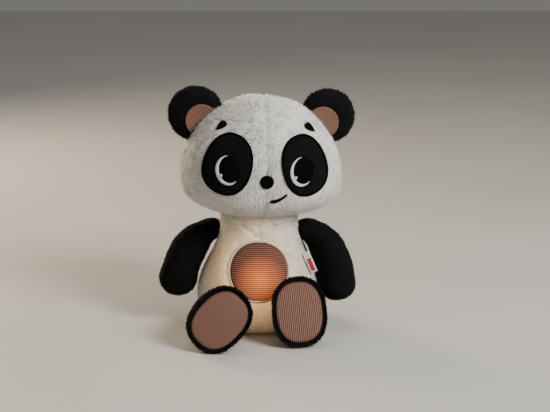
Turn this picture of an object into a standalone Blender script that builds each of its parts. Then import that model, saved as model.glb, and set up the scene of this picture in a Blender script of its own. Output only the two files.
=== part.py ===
"""A seated plush panda with a light and sound module in its belly.

Metres, +Z up, the panda looks along -Y. The origin is the middle of the flat seat under the body.
Left and right are the panda's own, so its left side is at +X.
"""

import math
from collections import namedtuple

import bmesh
import bpy
from mathutils import Euler, Matrix, Vector

# Body
BODY_HALF_WIDTH = 0.0625
BODY_FRONT = 0.0555
BODY_BACK = 0.0520
BODY_WIDEST_Z = 0.030
BODY_TOP_Z = 0.109
SEAT_SHARE = 0.74
NECK_RADIUS = 0.0385
NECK_STUB_RADIUS = 0.020
NECK_STUB_LENGTH = 0.008

# Head
HEAD_HALF_WIDTH = 0.0789
HEAD_HALF_DEPTH = 0.0630
HEAD_WIDEST = 0.0425
HEAD_ABOVE = 0.0780
HEAD_BELOW = 0.0370
HEAD_BOXINESS_ABOVE = 2.0
HEAD_BOXINESS_BELOW = 2.6
HEAD_TURNED = math.radians(6.0)
HEAD_TILTED = math.radians(2.2)
EAR_RADIUS = 0.0270
EAR_HALF_THICKNESS = 0.0075
EAR_SIDE = 0.0655
EAR_HEIGHT = 0.1010
EAR_BACK = 0.0080
EAR_PAD_RADIUS = 0.0165
EAR_PAD_SHIFT = 0.0055

# Face, in the head's own frame: how far to the side and how far above the neck
EYE_SIDE = 0.0365
EYE_HEIGHT = 0.0630
EYE_HALF_WIDTH = 0.0215
EYE_HALF_HEIGHT = 0.0285
EYE_LEAN = math.radians(19.0)
PUPIL_SIDE = 0.0348
PUPIL_HEIGHT = 0.0590
PUPIL_HALF_WIDTH = 0.0098
PUPIL_HALF_HEIGHT = 0.0122
SHINE_SHIFT = 0.0022
SHINE_DROP = 0.0020
SHINE_GROWTH = 1.20
NOSE_HEIGHT = 0.0486
NOSE_RADIUS = 0.0065
NOSE_THICKNESS = 0.0026
MOUTH_INNER = 0.0040
MOUTH_OUTER = 0.0195
MOUTH_HEIGHT = 0.0300
MOUTH_RISE = 0.0065
MOUTH_WIDTH = 0.0028
BROW_SIDE = 0.0425
BROW_HEIGHT = 0.0955
BROW_LENGTH = 0.0110
BROW_WIDTH = 0.0058
BROW_LEAN = math.radians(34.0)

# Cloth
COVER = 0.0020
PATCH = 0.0012
GAP = 0.0003

# Arms: a root ball in the body, then a bowed sleeve
SHOULDER_Z = 0.0955
ARM_ROOT = 0.0115
SHOULDER_INNER = 0.03435
SHOULDER_SPREAD = 1.10
SHOULDER_X = SHOULDER_INNER + SHOULDER_SPREAD * ARM_ROOT
ARM_RADIUS = 0.0188
ARM_FLATNESS = 0.86
ARM_ELBOW = Vector((0.0255, 0.0, -0.0105))
RIGHT_HAND = Vector((0.0345, -0.010, -0.0475))
LEFT_HAND = Vector((0.0309, -0.020, -0.0492))

# Legs: a root ball in the body, then a sleeve that widens to the sole
LEG_ROOT = 0.0185
HIP_INNER = 0.0235
HIP_REAR = 0.0215
HIP_UNDERSIDE = 0.0040
HIP = Vector((HIP_INNER + LEG_ROOT, -HIP_REAR - LEG_ROOT, HIP_UNDERSIDE + LEG_ROOT))
LEG_STRAIGHT = 0.0120
FOOT_LONG = 0.0340
FOOT_SHORT = 0.0268
SOLE_LONG = 0.0305
SOLE_SHORT = 0.0233
SOLE_TILT = math.radians(15.0)
SOLE_TURN = math.radians(7.0)
RIGHT_SOLE = Vector((0.0366, -0.0956, 0.0315))
RIGHT_SOLE_ROLL = math.radians(-42.0)
LEFT_SOLE = Vector((0.0393, -0.0800, 0.0345))
LEFT_SOLE_ROLL = math.radians(4.0)
LEG_PLACES = {"left": (LEFT_SOLE, LEFT_SOLE_ROLL), "right": (RIGHT_SOLE, RIGHT_SOLE_ROLL)}
LEG_LIFT = math.radians(25.0)
HIP_SLANT = math.radians(35.0)
LIFT_STEPS = 2
THIGH_SECTIONS = 7
ROOT_GAP = 0.0008
NECK_SOCKET_GAP = 0.0018

# Belly window and the module behind it; depths run inwards from the window's face
WINDOW_Z = 0.0650
WINDOW_RADIUS = 0.0294
WINDOW_THICKNESS = 0.0015
WINDOW_LEAN = math.radians(13.0)
MODULE_RADIUS = 0.0330
WALL = 0.0020
BUTTON_RADIUS = 0.0270
BUTTON_FACE = 0.0025
BUTTON_CROWN_ROOM = 0.0002
BUTTON_WALL = 0.0015
BUTTON_TRAVEL = 0.0020
HOUSING_FACE = 0.0112
HOUSING_SPLIT = 0.0258
DIVIDER_FACE = 0.0322
CELL_RADIUS = 0.00525
CELL_LENGTH = 0.0435
CELL_PITCH = 0.0109
BOARD_RADIUS = 0.0240
BOARD_THICKNESS = 0.0016
SPEAKER_RADIUS = 0.0140
LED_COUNT = 3
LED_RING = 0.0075
SCREW_SHANK = 0.0012
SCREW_HEAD = 0.0024
SCREW_HEAD_HEIGHT = 0.0014
SCREW_RECESS = 0.0018
BOSS_RADIUS = 0.0034
BOSS_HEIGHT = 0.0045
BAY_HALF_WIDTH = 0.0168
BAY_HALF_LENGTH = 0.0247
REFLECTOR_DEPTH = 0.0042
REFLECTOR_MOUTH = 0.0240
REFLECTOR_THROAT = 0.0115
EDGE_BREAK = 0.0010
DOOR_RADIUS = 0.0315
DOOR_HALF_WIDTH = 0.0195
DOOR_THICKNESS = 0.0018
DOOR_SCREW_Y = 0.0280
SWITCH_SIDE = 0.0255
SWITCH_STEM_HALF = 0.0015
SWITCH_FOOT = 0.0012
SWITCH_TRAVEL = 0.0025
PLATE_THICKNESS = 0.0005
SOUND_HOLE_RADIUS = 0.0014
CELL_PLUS_RADIUS = 0.0019
CELL_PLUS_HEIGHT = 0.0010

# Pouch and back flap
POUCH_CLEARANCE = 0.0007
POUCH_THICKNESS = 0.0013
POUCH_TURN_DEPTH = 0.054
BACK_OPENING_Z = 0.0530
FLAP_RADIUS = 0.0395
FLAP_TOP = 0.0330
FLAP_THICKNESS = 0.0020
STRIP_THICKNESS = 0.0007
STRIP_INNER = 0.0345
STRIP_OUTER = 0.0388

# Side label
LABEL_WIDTH = 0.0085
LABEL_HEIGHT = 0.0220
LABEL_THICKNESS = 0.0010
LABEL_Z = 0.0680
LABEL_Y = -0.0270
LABEL_LEAN = math.radians(24.0)

WHITE_PLUSH = (0.79, 0.77, 0.71)
BLACK_PLUSH = (0.008, 0.008, 0.009)
PINK_CORD = (0.43, 0.22, 0.17)
STITCHED_BLACK = (0.004, 0.004, 0.004)
STITCHED_WHITE = (0.75, 0.76, 0.80)
STUFFING = (0.85, 0.85, 0.84)
POUCH_GREY = (0.35, 0.34, 0.33)
WHITE_PLASTIC = (0.72, 0.72, 0.70)
MILKY_PLASTIC = (0.85, 0.70, 0.55)
BOARD_GREEN = (0.02, 0.17, 0.07)
STEEL = (0.55, 0.55, 0.57)
CELL_BLUE = (0.05, 0.14, 0.40)
DARK_PLASTIC = (0.03, 0.03, 0.035)
LED_AMBER = (0.95, 0.55, 0.18)

BODY_SEGMENTS = 24
HEAD_SEGMENTS = 26
TURNED_SEGMENTS = 24

Section = namedtuple("Section", "centre wide deep power")
UP = Vector((0, 0, 1))
SIDES = (("left", 1), ("right", -1))


def material(name, colour, roughness, metallic=0.0):
    found = bpy.data.materials.get(name)
    if found:
        return found
    made = bpy.data.materials.new(name)
    made.use_nodes = True
    shader = made.node_tree.nodes["Principled BSDF"]
    shader.inputs["Base Color"].default_value = (*colour, 1)
    shader.inputs["Roughness"].default_value = roughness
    shader.inputs["Metallic"].default_value = metallic
    return made


def add_object(name, bm, finish=None, parent=None, smooth=True):
    """Makes a named object from a bmesh that is in its parent's own coordinates."""
    bm.normal_update()
    bmesh.ops.recalc_face_normals(bm, faces=bm.faces)
    mesh = bpy.data.meshes.new(name)
    bm.to_mesh(mesh)
    bm.free()
    if smooth:
        mesh.shade_smooth()
        mesh.set_sharp_from_angle(angle=math.radians(40))
    obj = bpy.data.objects.new(name, mesh)
    bpy.context.scene.collection.objects.link(obj)
    obj.parent = parent
    if finish:
        mesh.materials.append(finish)
    return obj


def add_cutter(name, bm, parent=None):
    """A helper that shapes other pieces and isn't a piece itself."""
    obj = add_object(name, bm, parent=parent, smooth=False)
    obj.hide_render = True
    obj.display_type = "WIRE"
    return obj


def add_frame(name, location, rotation=(0, 0, 0), parent=None):
    frame = bpy.data.objects.new(name, None)
    frame.empty_display_size = 0.01
    frame.location = location
    frame.rotation_euler = rotation
    frame.parent = parent
    bpy.context.scene.collection.objects.link(frame)
    bpy.context.view_layer.update()
    return frame


def cut(obj, *cutters, operation="DIFFERENCE"):
    for cutter in cutters:
        modifier = obj.modifiers.new(cutter.name, "BOOLEAN")
        modifier.object = cutter
        modifier.operation = operation


def hang_on(obj, pivot):
    """Gives a piece made in world coordinates the pivot as its parent, and so its origin on the joint."""
    obj.data.transform(pivot.matrix_world.inverted())
    obj.parent = pivot


def section_point(section, angle):
    across, through = math.cos(angle), math.sin(angle)
    power = 2 / section.power
    wide = section.wide * math.copysign(abs(across) ** power, across)
    deep = section.deep * math.copysign(abs(through) ** power, through)
    return section.centre + wide + deep


def loft(sections, segments, grow=0.0):
    """A closed form through oval sections, moved out along its normals by grow."""
    bm = bmesh.new()
    slot = bm.verts.layers.int.new("slot")
    ring = bmesh.ops.create_circle(bm, cap_ends=True, segments=segments, radius=1)["verts"]
    for index, vert in enumerate(ring):
        vert[slot] = index
    face = bm.faces[:][0]
    for index, section in enumerate(sections):
        if index:
            made = bmesh.ops.extrude_face_region(bm, geom=[face])["geom"]
            if index > 1:
                bmesh.ops.delete(bm, geom=[face], context="FACES_ONLY")
            ring = [part for part in made if isinstance(part, bmesh.types.BMVert)]
            face = next(part for part in made if isinstance(part, bmesh.types.BMFace))
        for vert in ring:
            vert.co = section_point(section, math.tau * vert[slot] / segments)
    bm.normal_update()
    bmesh.ops.recalc_face_normals(bm, faces=bm.faces)
    if grow:
        bm.normal_update()
        shifts = [vert.normal * (grow * vert.calc_shell_factor()) for vert in bm.verts]
        for vert, shift in zip(bm.verts, shifts):
            vert.co += shift
    return bm


def turned(profile, segments=TURNED_SEGMENTS):
    """A solid of revolution about Z from a profile of (radius, height) points."""
    bm = bmesh.new()
    verts = [bm.verts.new((radius, 0, height)) for radius, height in profile]
    edges = [bm.edges.new(pair) for pair in zip(verts, verts[1:])]
    if profile[0][0] > 0 or profile[-1][0] > 0:
        edges.append(bm.edges.new((verts[-1], verts[0])))
    bmesh.ops.spin(
        bm, geom=verts + edges, cent=(0, 0, 0), axis=(0, 0, 1),
        dvec=(0, 0, 0), angle=math.tau, steps=segments, use_merge=True,
    )
    bmesh.ops.remove_doubles(bm, verts=bm.verts, dist=1e-6)
    return bm


def rod(radius, start, end, segments=TURNED_SEGMENTS):
    """A cylinder between two points."""
    start, end = Vector(start), Vector(end)
    bm = bmesh.new()
    bmesh.ops.create_cone(
        bm, cap_ends=True, segments=segments, radius1=radius, radius2=radius,
        depth=(end - start).length,
    )
    turn = UP.rotation_difference(end - start).to_matrix().to_4x4()
    bm.transform(Matrix.Translation((start + end) / 2) @ turn)
    return bm


def ball(radius, centre, segments):
    bm = bmesh.new()
    bmesh.ops.create_uvsphere(bm, u_segments=segments, v_segments=segments // 2, radius=radius)
    bm.transform(Matrix.Translation(centre))
    return bm


def box(low, high):
    low, high = Vector(low), Vector(high)
    bm = bmesh.new()
    bmesh.ops.create_cube(bm, size=1)
    bm.transform(Matrix.Translation((low + high) / 2) @ Matrix.Diagonal((*(high - low), 1)))
    return bm


def prism(outline, near, far):
    """Extrudes an outline of (x, z) points along Y, from near to far."""
    bm = bmesh.new()
    face = bm.faces.new([bm.verts.new((x, near, z)) for x, z in outline])
    made = bmesh.ops.extrude_face_region(bm, geom=[face])["geom"]
    moved = [part for part in made if isinstance(part, bmesh.types.BMVert)]
    bmesh.ops.translate(bm, verts=moved, vec=(0, far - near, 0))
    return bm


def oval(half_width, half_height, lean=0.0, centre=(0, 0), egg=0.0, count=20):
    """Points of an oval whose lower end is wider by the share egg."""
    points = []
    for index in range(count):
        angle = math.tau * index / count
        x = half_width * math.cos(angle) * (1 - egg * math.sin(angle))
        z = half_height * math.sin(angle)
        turned_x = x * math.cos(lean) + z * math.sin(lean)
        turned_z = z * math.cos(lean) - x * math.sin(lean)
        points.append((centre[0] + turned_x, centre[1] + turned_z))
    return points


# ---- body ----


def body_share(z):
    """How much of the belly is left at this height: 1 at its widest, 0 at the neck."""
    return math.cos(math.pi / 2 * (z - BODY_WIDEST_Z) / (BODY_TOP_Z - BODY_WIDEST_Z))


def body_section(z):
    if z < BODY_WIDEST_Z:
        rounding = (1 - (1 - z / BODY_WIDEST_Z) ** 2.2) ** (1 / 2.2)
        share = SEAT_SHARE + (1 - SEAT_SHARE) * rounding
        width, front, back = BODY_HALF_WIDTH * share, BODY_FRONT * share, BODY_BACK * share
        belly = 1.0
    else:
        belly = max(body_share(z), 0.0)
        width = NECK_RADIUS + (BODY_HALF_WIDTH - NECK_RADIUS) * belly**2.3
        front = NECK_RADIUS + (BODY_FRONT - NECK_RADIUS) * belly**1.2
        back = NECK_RADIUS + (BODY_BACK - NECK_RADIUS) * belly**1.6
    return Section(
        Vector((0, (back - front) / 2, z)),
        Vector((width, 0, 0)),
        Vector((0, (front + back) / 2, 0)),
        2.0 + 0.5 * belly,
    )


def body_form(grow=0.0):
    seat_steps, side_steps = 3, 7
    heights = [BODY_WIDEST_Z * (index / seat_steps) ** 1.6 for index in range(seat_steps)]
    rise = BODY_TOP_Z - BODY_WIDEST_Z
    heights += [BODY_WIDEST_Z + rise * index / side_steps for index in range(side_steps + 1)]
    return loft([body_section(z) for z in heights], BODY_SEGMENTS, grow)


def body_front(z):
    section = body_section(z)
    return section.centre.y - section.deep.y


def body_back(z):
    section = body_section(z)
    return section.centre.y + section.deep.y


# ---- head ----


def head_section(latitude):
    below = latitude < 0
    power = HEAD_BOXINESS_BELOW if below else HEAD_BOXINESS_ABOVE
    radius = math.cos(latitude) ** (2 / power)
    height = math.copysign(abs(math.sin(latitude)) ** (2 / power), latitude)
    height *= HEAD_BELOW if below else HEAD_ABOVE
    return Section(
        Vector((0, 0, HEAD_WIDEST + height)),
        Vector((HEAD_HALF_WIDTH * radius, 0, 0)),
        Vector((0, HEAD_HALF_DEPTH * radius, 0)),
        2.15,
    )


def head_form(grow=0.0):
    latitudes = [math.radians(angle) for angle in (-84, -64, -44, -24, -8)]
    latitudes += [math.radians(angle) for angle in (8, 24, 40, 55, 70, 82)]
    return loft([head_section(latitude) for latitude in latitudes], HEAD_SEGMENTS, grow)


def head_cover_and_stuffing(frame):
    socket = add_cutter("neck_socket_cutter", ball(NECK_RADIUS + NECK_SOCKET_GAP, (0, 0, 0), 20), frame)
    cover = add_object("head_cover", head_form(), material("white_plush", WHITE_PLUSH, 0.95), frame)
    hollow = add_cutter("head_hollow_cutter", head_form(-COVER), frame)
    cut(cover, hollow, socket)
    filling = head_form(-COVER - GAP)
    stuffing = add_object("head_stuffing", filling, material("stuffing", STUFFING, 0.95), frame)
    cut(stuffing, socket)


def ear_form(side, grow=0.0):
    """A flat round cushion, facing forwards."""
    centre = Vector((side * EAR_SIDE, EAR_BACK, EAR_HEIGHT))
    sections = []
    for angle in (-75, -45, -15, 15, 45, 75):
        latitude = math.radians(angle)
        radius = EAR_RADIUS * math.cos(latitude) ** 0.75
        shift = Vector((0, EAR_HALF_THICKNESS * math.sin(latitude), 0))
        wide, deep = Vector((radius, 0, 0)), Vector((0, 0, radius))
        sections.append(Section(centre + shift, wide, deep, 2.0))
    return loft(sections, 18, grow)


def ears(frame):
    head_room = add_cutter("ear_head_cutter", head_form(GAP), frame)
    for name, side in SIDES:
        ear = add_object(f"{name}_ear", ear_form(side), material("black_plush", BLACK_PLUSH, 0.95), frame)
        cut(ear, head_room)
        pad = add_object(
            f"{name}_inner_ear", ear_form(side, GAP + PATCH), material("pink_corduroy", PINK_CORD, 0.9), frame
        )
        pad_x, pad_z = side * (EAR_SIDE - EAR_PAD_SHIFT), EAR_HEIGHT - EAR_PAD_SHIFT
        pad_back = EAR_BACK - EAR_HALF_THICKNESS / 2
        pad_rod = rod(EAR_PAD_RADIUS, (pad_x, -HEAD_HALF_DEPTH, pad_z), (pad_x, pad_back, pad_z), 18)
        shape = add_cutter(f"{name}_inner_ear_shape", pad_rod, frame)
        cut(pad, shape, operation="INTERSECT")
        room = add_cutter(f"{name}_inner_ear_room", ear_form(side, GAP), frame)
        cut(pad, room, head_room)


def face_layer(name, outline, low, high, finish, frame):
    """A piece of the face: the outline pressed onto the head, from low to high above the cover."""
    shape = add_object(name, prism(outline, -0.1, 0.0), finish, frame)
    outer = add_cutter(name + "_outer", head_form(high), frame)
    inner = add_cutter(name + "_inner", head_form(low), frame)
    cut(shape, outer, operation="INTERSECT")
    cut(shape, inner)
    return shape


def eyes(frame):
    thread = material("black_embroidery", STITCHED_BLACK, 0.5)
    bright = material("white_embroidery", STITCHED_WHITE, 0.5)
    patch_cloth = material("black_patch_plush", BLACK_PLUSH, 0.9)
    first, second = GAP, GAP + PATCH
    third, fourth = second + GAP, second + GAP + PATCH
    for name, side in SIDES:
        patch = oval(
            EYE_HALF_WIDTH, EYE_HALF_HEIGHT, -side * EYE_LEAN, (side * EYE_SIDE, EYE_HEIGHT), 0.08, 24
        )
        face_layer(f"{name}_eye_patch", patch, first, second, patch_cloth, frame)
        middle = (side * PUPIL_SIDE, PUPIL_HEIGHT)
        pupil = oval(PUPIL_HALF_WIDTH, PUPIL_HALF_HEIGHT, 0, middle)
        face_layer(f"{name}_pupil", pupil, third, fourth, thread, frame)
        shine_middle = (middle[0] - SHINE_SHIFT, middle[1] - SHINE_DROP)
        shine = oval(
            PUPIL_HALF_WIDTH * SHINE_GROWTH, PUPIL_HALF_HEIGHT * SHINE_GROWTH, 0, shine_middle
        )
        crescent = face_layer(f"{name}_eye_shine", shine, third, fourth, bright, frame)
        around = oval(PUPIL_HALF_WIDTH + GAP, PUPIL_HALF_HEIGHT + GAP, 0, middle)
        notch = add_cutter(f"{name}_shine_cutter", prism(around, -0.12, 0.02), frame)
        # The crescent opens towards the panda's left, above and beside the pupil.
        open_corner = box(
            (middle[0] + PUPIL_HALF_WIDTH * 0.55, -0.12, middle[1] - PUPIL_HALF_HEIGHT * 0.35),
            (middle[0] + PUPIL_HALF_WIDTH * 2, 0.02, middle[1] + PUPIL_HALF_HEIGHT * 2),
        )
        open_side = add_cutter(f"{name}_shine_opening", open_corner, frame)
        top = box(
            (middle[0] - PUPIL_HALF_WIDTH * 0.2, -0.12, middle[1]),
            (middle[0] + PUPIL_HALF_WIDTH * 2, 0.02, middle[1] + PUPIL_HALF_HEIGHT * 2),
        )
        open_top = add_cutter(f"{name}_shine_top", top, frame)
        cut(crescent, notch, open_side, open_top)


def brow_drop(side):
    """Points of a drop: round at its upper inner end, pointed at its lower outer end."""
    points = []
    count = 14
    for index in range(count):
        angle = math.tau * index / count
        along = BROW_LENGTH / 2 * math.cos(angle)
        around = BROW_WIDTH / 2 * math.sin(angle) * math.sin(angle / 2)
        x = along * math.cos(BROW_LEAN) + around * math.sin(BROW_LEAN)
        z = around * math.cos(BROW_LEAN) - along * math.sin(BROW_LEAN)
        points.append((side * (BROW_SIDE + x), BROW_HEIGHT + z))
    return points


def nose_mouth_and_brows(frame):
    thread = material("black_embroidery", STITCHED_BLACK, 0.5)
    nose = oval(NOSE_RADIUS, NOSE_RADIUS, 0, (0, NOSE_HEIGHT), count=16)
    face_layer("nose", nose, GAP, GAP + NOSE_THICKNESS, thread, frame)
    upper, lower = [], []
    steps = 6
    for index in range(steps + 1):
        share = index / steps
        x = MOUTH_INNER + (MOUTH_OUTER - MOUTH_INNER) * share
        z = MOUTH_HEIGHT + MOUTH_RISE * share**1.8
        half = MOUTH_WIDTH / 2 * (1 - 0.5 * share)
        upper.append((x, z + half))
        lower.append((x, z - half))
    face_layer("mouth", lower + upper[::-1], GAP, GAP + PATCH, thread, frame)
    for name, side in SIDES:
        face_layer(f"{name}_brow", brow_drop(side), GAP, GAP + PATCH, thread, frame)


# ---- limbs ----


def across(direction, hint):
    """Two unit vectors across a direction, the first as near to the hint as it can be."""
    direction = direction.normalized()
    first = (hint - direction * hint.dot(direction)).normalized()
    return first, direction.cross(first)


def root_sections(centre, direction, radius, hint):
    """The back half of a ball around a pivot."""
    first, second = across(direction, hint)
    sections = []
    for angle in (-72, -48, -24):
        latitude = math.radians(angle)
        size = radius * math.cos(latitude)
        shift = direction.normalized() * radius * math.sin(latitude)
        sections.append(Section(centre + shift, first * size, second * size, 2.0))
    return sections


def arm_form(side, hand, grow=0.0):
    shoulder = Vector((side * SHOULDER_X, 0, SHOULDER_Z))
    mirror = Vector((side, 1, 1))
    elbow = shoulder + ARM_ELBOW * mirror
    tip = shoulder + hand * mirror
    forward = Vector((0, 1, 0))
    sections = root_sections(shoulder, elbow - shoulder, ARM_ROOT, forward)
    steps = 7
    for index in range(steps + 1):
        t = index / steps
        centre = shoulder * (1 - t) ** 2 + elbow * 2 * t * (1 - t) + tip * t**2
        direction = (elbow - shoulder) * (1 - t) + (tip - elbow) * t
        radius = ARM_ROOT + (ARM_RADIUS - ARM_ROOT) * math.sin(math.pi / 2 * min(1, 1.25 * t))
        flat = 1 - (1 - ARM_FLATNESS) * t
        first, second = across(direction, forward)
        sections.append(Section(centre, first * radius * flat, second * radius, 2.0))
    for angle in (30, 55, 78):
        latitude = math.radians(angle)
        size = ARM_RADIUS * math.cos(latitude)
        shift = direction.normalized() * ARM_RADIUS * math.sin(latitude)
        sections.append(Section(tip + shift, first * size * flat, second * size, 2.0))
    return loft(sections, 14, grow)


def arms():
    plush, filling = material("black_plush", BLACK_PLUSH, 0.95), material("stuffing", STUFFING, 0.95)
    for (name, side), hand in zip(SIDES, (LEFT_HAND, RIGHT_HAND)):
        shoulder = Vector((side * SHOULDER_X, 0, SHOULDER_Z))
        pivot = add_frame(f"{name}_shoulder", shoulder)
        cover = add_object(f"{name}_arm_cover", arm_form(side, hand), plush)
        hollow = add_cutter(f"{name}_arm_hollow", arm_form(side, hand, -COVER))
        inward = Vector((-side * 0.02, 0, 0.008))
        turning_hole = add_cutter(f"{name}_arm_turning_hole", rod(0.004, shoulder, shoulder + inward, 12))
        cut(cover, hollow, turning_hole)
        stuffing = add_object(f"{name}_arm_stuffing", arm_form(side, hand, -COVER - GAP), filling)
        for piece in (cover, hollow, turning_hole, stuffing):
            hang_on(piece, pivot)


def sole_frame(side, centre, roll):
    """The sole's middle, its normal, and its long and short directions."""
    turn = Euler((0, 0, side * SOLE_TURN)).to_matrix()
    normal = turn @ Vector((0, -math.cos(SOLE_TILT), math.sin(SOLE_TILT)))
    first, second = across(normal, UP)
    long_way = first * math.cos(roll) + second * math.sin(roll)
    return Vector((side * centre.x, centre.y, centre.z)), normal, long_way, normal.cross(long_way)


def leg_sections(side, sole, roll):
    hip = Vector((side * HIP.x, HIP.y, HIP.z))
    centre, normal, long_way, short_way = sole_frame(side, sole, roll)
    direction = (centre - hip).normalized()
    sections = root_sections(hip, direction, LEG_ROOT, long_way)
    straight = LEG_STRAIGHT / (centre - hip).length
    widening = [straight + (0.93 - straight) * index / 4 for index in range(5)]
    for t in [0, *widening, 1]:
        share = max(0.0, min(1.0, (t - straight) / (0.93 - straight)))
        growth = math.sin(math.pi / 2 * share) ** 1.5
        rounding = 1 - 0.05 * (max(0.0, t - 0.93) / 0.07) ** 2
        aim = direction.lerp(normal, min(1, t / 0.8)).normalized()
        first, second = across(aim, long_way)
        wide = first * (LEG_ROOT + (FOOT_LONG - LEG_ROOT) * growth) * rounding
        deep = second * (LEG_ROOT + (FOOT_SHORT - LEG_ROOT) * growth) * rounding
        sections.append(Section(hip.lerp(centre, t), wide, deep, 2.0))
    return sections


def leg_form(side, sole, roll, grow=0.0):
    return loft(leg_sections(side, sole, roll), 16, grow)


def sole_oval(side, sole, roll, clearance, near, far):
    """An oval slab across the sole, from near to far along its normal."""
    centre, normal, long_way, short_way = sole_frame(side, sole, roll)
    wide, deep = long_way * (SOLE_LONG + clearance), short_way * (SOLE_SHORT + clearance)
    return loft([Section(centre + normal * at, wide, deep, 2.0) for at in (near, far)], 24)


def leg_room(name, side):
    """The hull of what the thigh sweeps as the leg lifts, which is left free in the body."""
    sole, roll = LEG_PLACES[name]
    hip = Vector((side * HIP.x, HIP.y, HIP.z))
    axis = Vector((-math.cos(HIP_SLANT), 0, side * math.sin(HIP_SLANT)))
    hull = bmesh.new()
    for index in range(LIFT_STEPS + 1):
        lift = Matrix.Rotation(LEG_LIFT * index / LIFT_STEPS, 4, axis)
        thigh = loft(leg_sections(side, sole, roll)[:THIGH_SECTIONS], 12, ROOT_GAP + GAP)
        thigh.transform(Matrix.Translation(hip) @ lift @ Matrix.Translation(-hip))
        for vert in thigh.verts:
            hull.verts.new(vert.co)
        thigh.free()
    bmesh.ops.convex_hull(hull, input=hull.verts)
    inside = [vert for vert in hull.verts if not vert.link_faces]
    bmesh.ops.delete(hull, geom=inside, context="VERTS")
    return add_cutter(f"{name}_leg_room", hull)


def legs():
    plush, filling = material("black_plush", BLACK_PLUSH, 0.95), material("stuffing", STUFFING, 0.95)
    corduroy = material("pink_corduroy", PINK_CORD, 0.9)
    for name, side in SIDES:
        sole, roll = LEG_PLACES[name]
        pivot = add_frame(f"{name}_hip", (side * HIP.x, HIP.y, HIP.z))
        cover = add_object(f"{name}_leg_cover", leg_form(side, sole, roll), plush)
        hollow = add_cutter(f"{name}_leg_hollow", leg_form(side, sole, roll, -COVER))
        opening = add_cutter(f"{name}_sole_opening", sole_oval(side, sole, roll, GAP, -0.006, 0.006))
        cut(cover, hollow, opening)
        stuffing = add_object(f"{name}_leg_stuffing", leg_form(side, sole, roll, -COVER - GAP), filling)
        plate = add_object(f"{name}_sole", sole_oval(side, sole, roll, 0, GAP - COVER, 0), corduroy)
        for piece in (cover, hollow, opening, stuffing, plate):
            hang_on(piece, pivot)


# ---- body cover, stuffing, pouch and flap ----


def module_axis_point(depth):
    inward = Vector((0, math.cos(WINDOW_LEAN), -math.sin(WINDOW_LEAN)))
    return Vector((0, body_front(WINDOW_Z), WINDOW_Z)) + inward * depth


def tunnel(radius, start_depth, room=0.0):
    """The leaning bore behind the window and the level bore to the back, as two helper shapes."""
    turn = module_axis_point(POUCH_TURN_DEPTH + room)
    behind = 2 * BODY_BACK
    leaning = rod(radius, module_axis_point(start_depth), turn)
    level_start = module_axis_point(POUCH_TURN_DEPTH).y - MODULE_RADIUS / 2 - room
    level = rod(radius, (0, level_start, BACK_OPENING_Z), (0, behind, BACK_OPENING_Z))
    return leaning, level


def body():
    plush, filling = material("white_plush", WHITE_PLUSH, 0.95), material("stuffing", STUFFING, 0.95)
    cover = add_object("body_cover", body_form(), plush)
    hollow = add_cutter("body_hollow_cutter", body_form(-COVER))
    window = add_cutter(
        "window_cutter", rod(WINDOW_RADIUS + GAP, module_axis_point(-0.02), module_axis_point(0.02))
    )
    pouch_outer = MODULE_RADIUS + POUCH_CLEARANCE + POUCH_THICKNESS
    back_hole = add_cutter(
        "back_hole_cutter", rod(pouch_outer - 2 * GAP, (0, 0.01, BACK_OPENING_Z), (0, 0.1, BACK_OPENING_Z))
    )
    stub_hole = rod(NECK_STUB_RADIUS + ROOT_GAP, (0, 0, BODY_TOP_Z - 0.009), (0, 0, BODY_TOP_Z + 0.01))
    neck_hole = add_cutter("neck_hole_cutter", stub_hole)
    roots = []
    for name, side in SIDES:
        shoulder = (side * SHOULDER_X, 0, SHOULDER_Z)
        roots.append(add_cutter(f"{name}_shoulder_cutter", ball(ARM_ROOT + ROOT_GAP, shoulder, 12)))
        hip = (side * HIP.x, HIP.y, HIP.z)
        roots.append(add_cutter(f"{name}_hip_cutter", ball(LEG_ROOT + ROOT_GAP, hip, 14)))
        roots.append(leg_room(name, side))
    cut(cover, hollow, window, back_hole, neck_hole, *roots)
    leaning, level = tunnel(pouch_outer + GAP, -0.02, GAP)
    leaning_bore = add_cutter("leaning_bore_cutter", leaning)
    level_bore = add_cutter("level_bore_cutter", level)
    stuffing = add_object("body_stuffing", body_form(-COVER - GAP), filling)
    cut(stuffing, leaning_bore, level_bore, neck_hole, *roots)


def neck(pivot):
    """The stuffed neck: a dome that the head sits on, and a stub that turns in the body."""
    profile = [(0, NECK_RADIUS)]
    steps = 6
    for index in range(1, steps + 1):
        angle = math.pi / 2 * (1 - index / steps)
        profile.append((NECK_RADIUS * math.cos(angle), NECK_RADIUS * math.sin(angle)))
    profile += [(NECK_STUB_RADIUS, 0), (NECK_STUB_RADIUS, -NECK_STUB_LENGTH), (0, -NECK_STUB_LENGTH)]
    add_object("neck_stuffing", turned(profile, 20), material("stuffing", STUFFING, 0.95), pivot)


def module_pouch():
    outer = MODULE_RADIUS + POUCH_CLEARANCE + POUCH_THICKNESS
    inner = MODULE_RADIUS + POUCH_CLEARANCE
    leaning, level = tunnel(outer, HOUSING_FACE - 0.001)
    pouch = add_object("module_pouch", leaning, material("pouch_lining", POUCH_GREY, 0.9))
    cut(pouch, add_cutter("pouch_level_part", level), operation="UNION")
    cut(pouch, add_cutter("pouch_inside_body", body_form(-COVER - GAP)), operation="INTERSECT")
    leaning, level = tunnel(inner, -0.01, -POUCH_THICKNESS)
    cut(pouch, add_cutter("pouch_leaning_room", leaning), add_cutter("pouch_level_room", level))


def back_layer(name, shape, low, high, finish, pivot=None):
    """A piece that lies on the back: the shape pressed onto the body, from low to high above it."""
    piece = add_object(name, shape, finish)
    outer = add_cutter(name + "_outer", body_form(high))
    inner = add_cutter(name + "_inner", body_form(low))
    cut(piece, outer, operation="INTERSECT")
    cut(piece, inner)
    if pivot:
        for part in (piece, outer, inner):
            hang_on(part, pivot)


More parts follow.
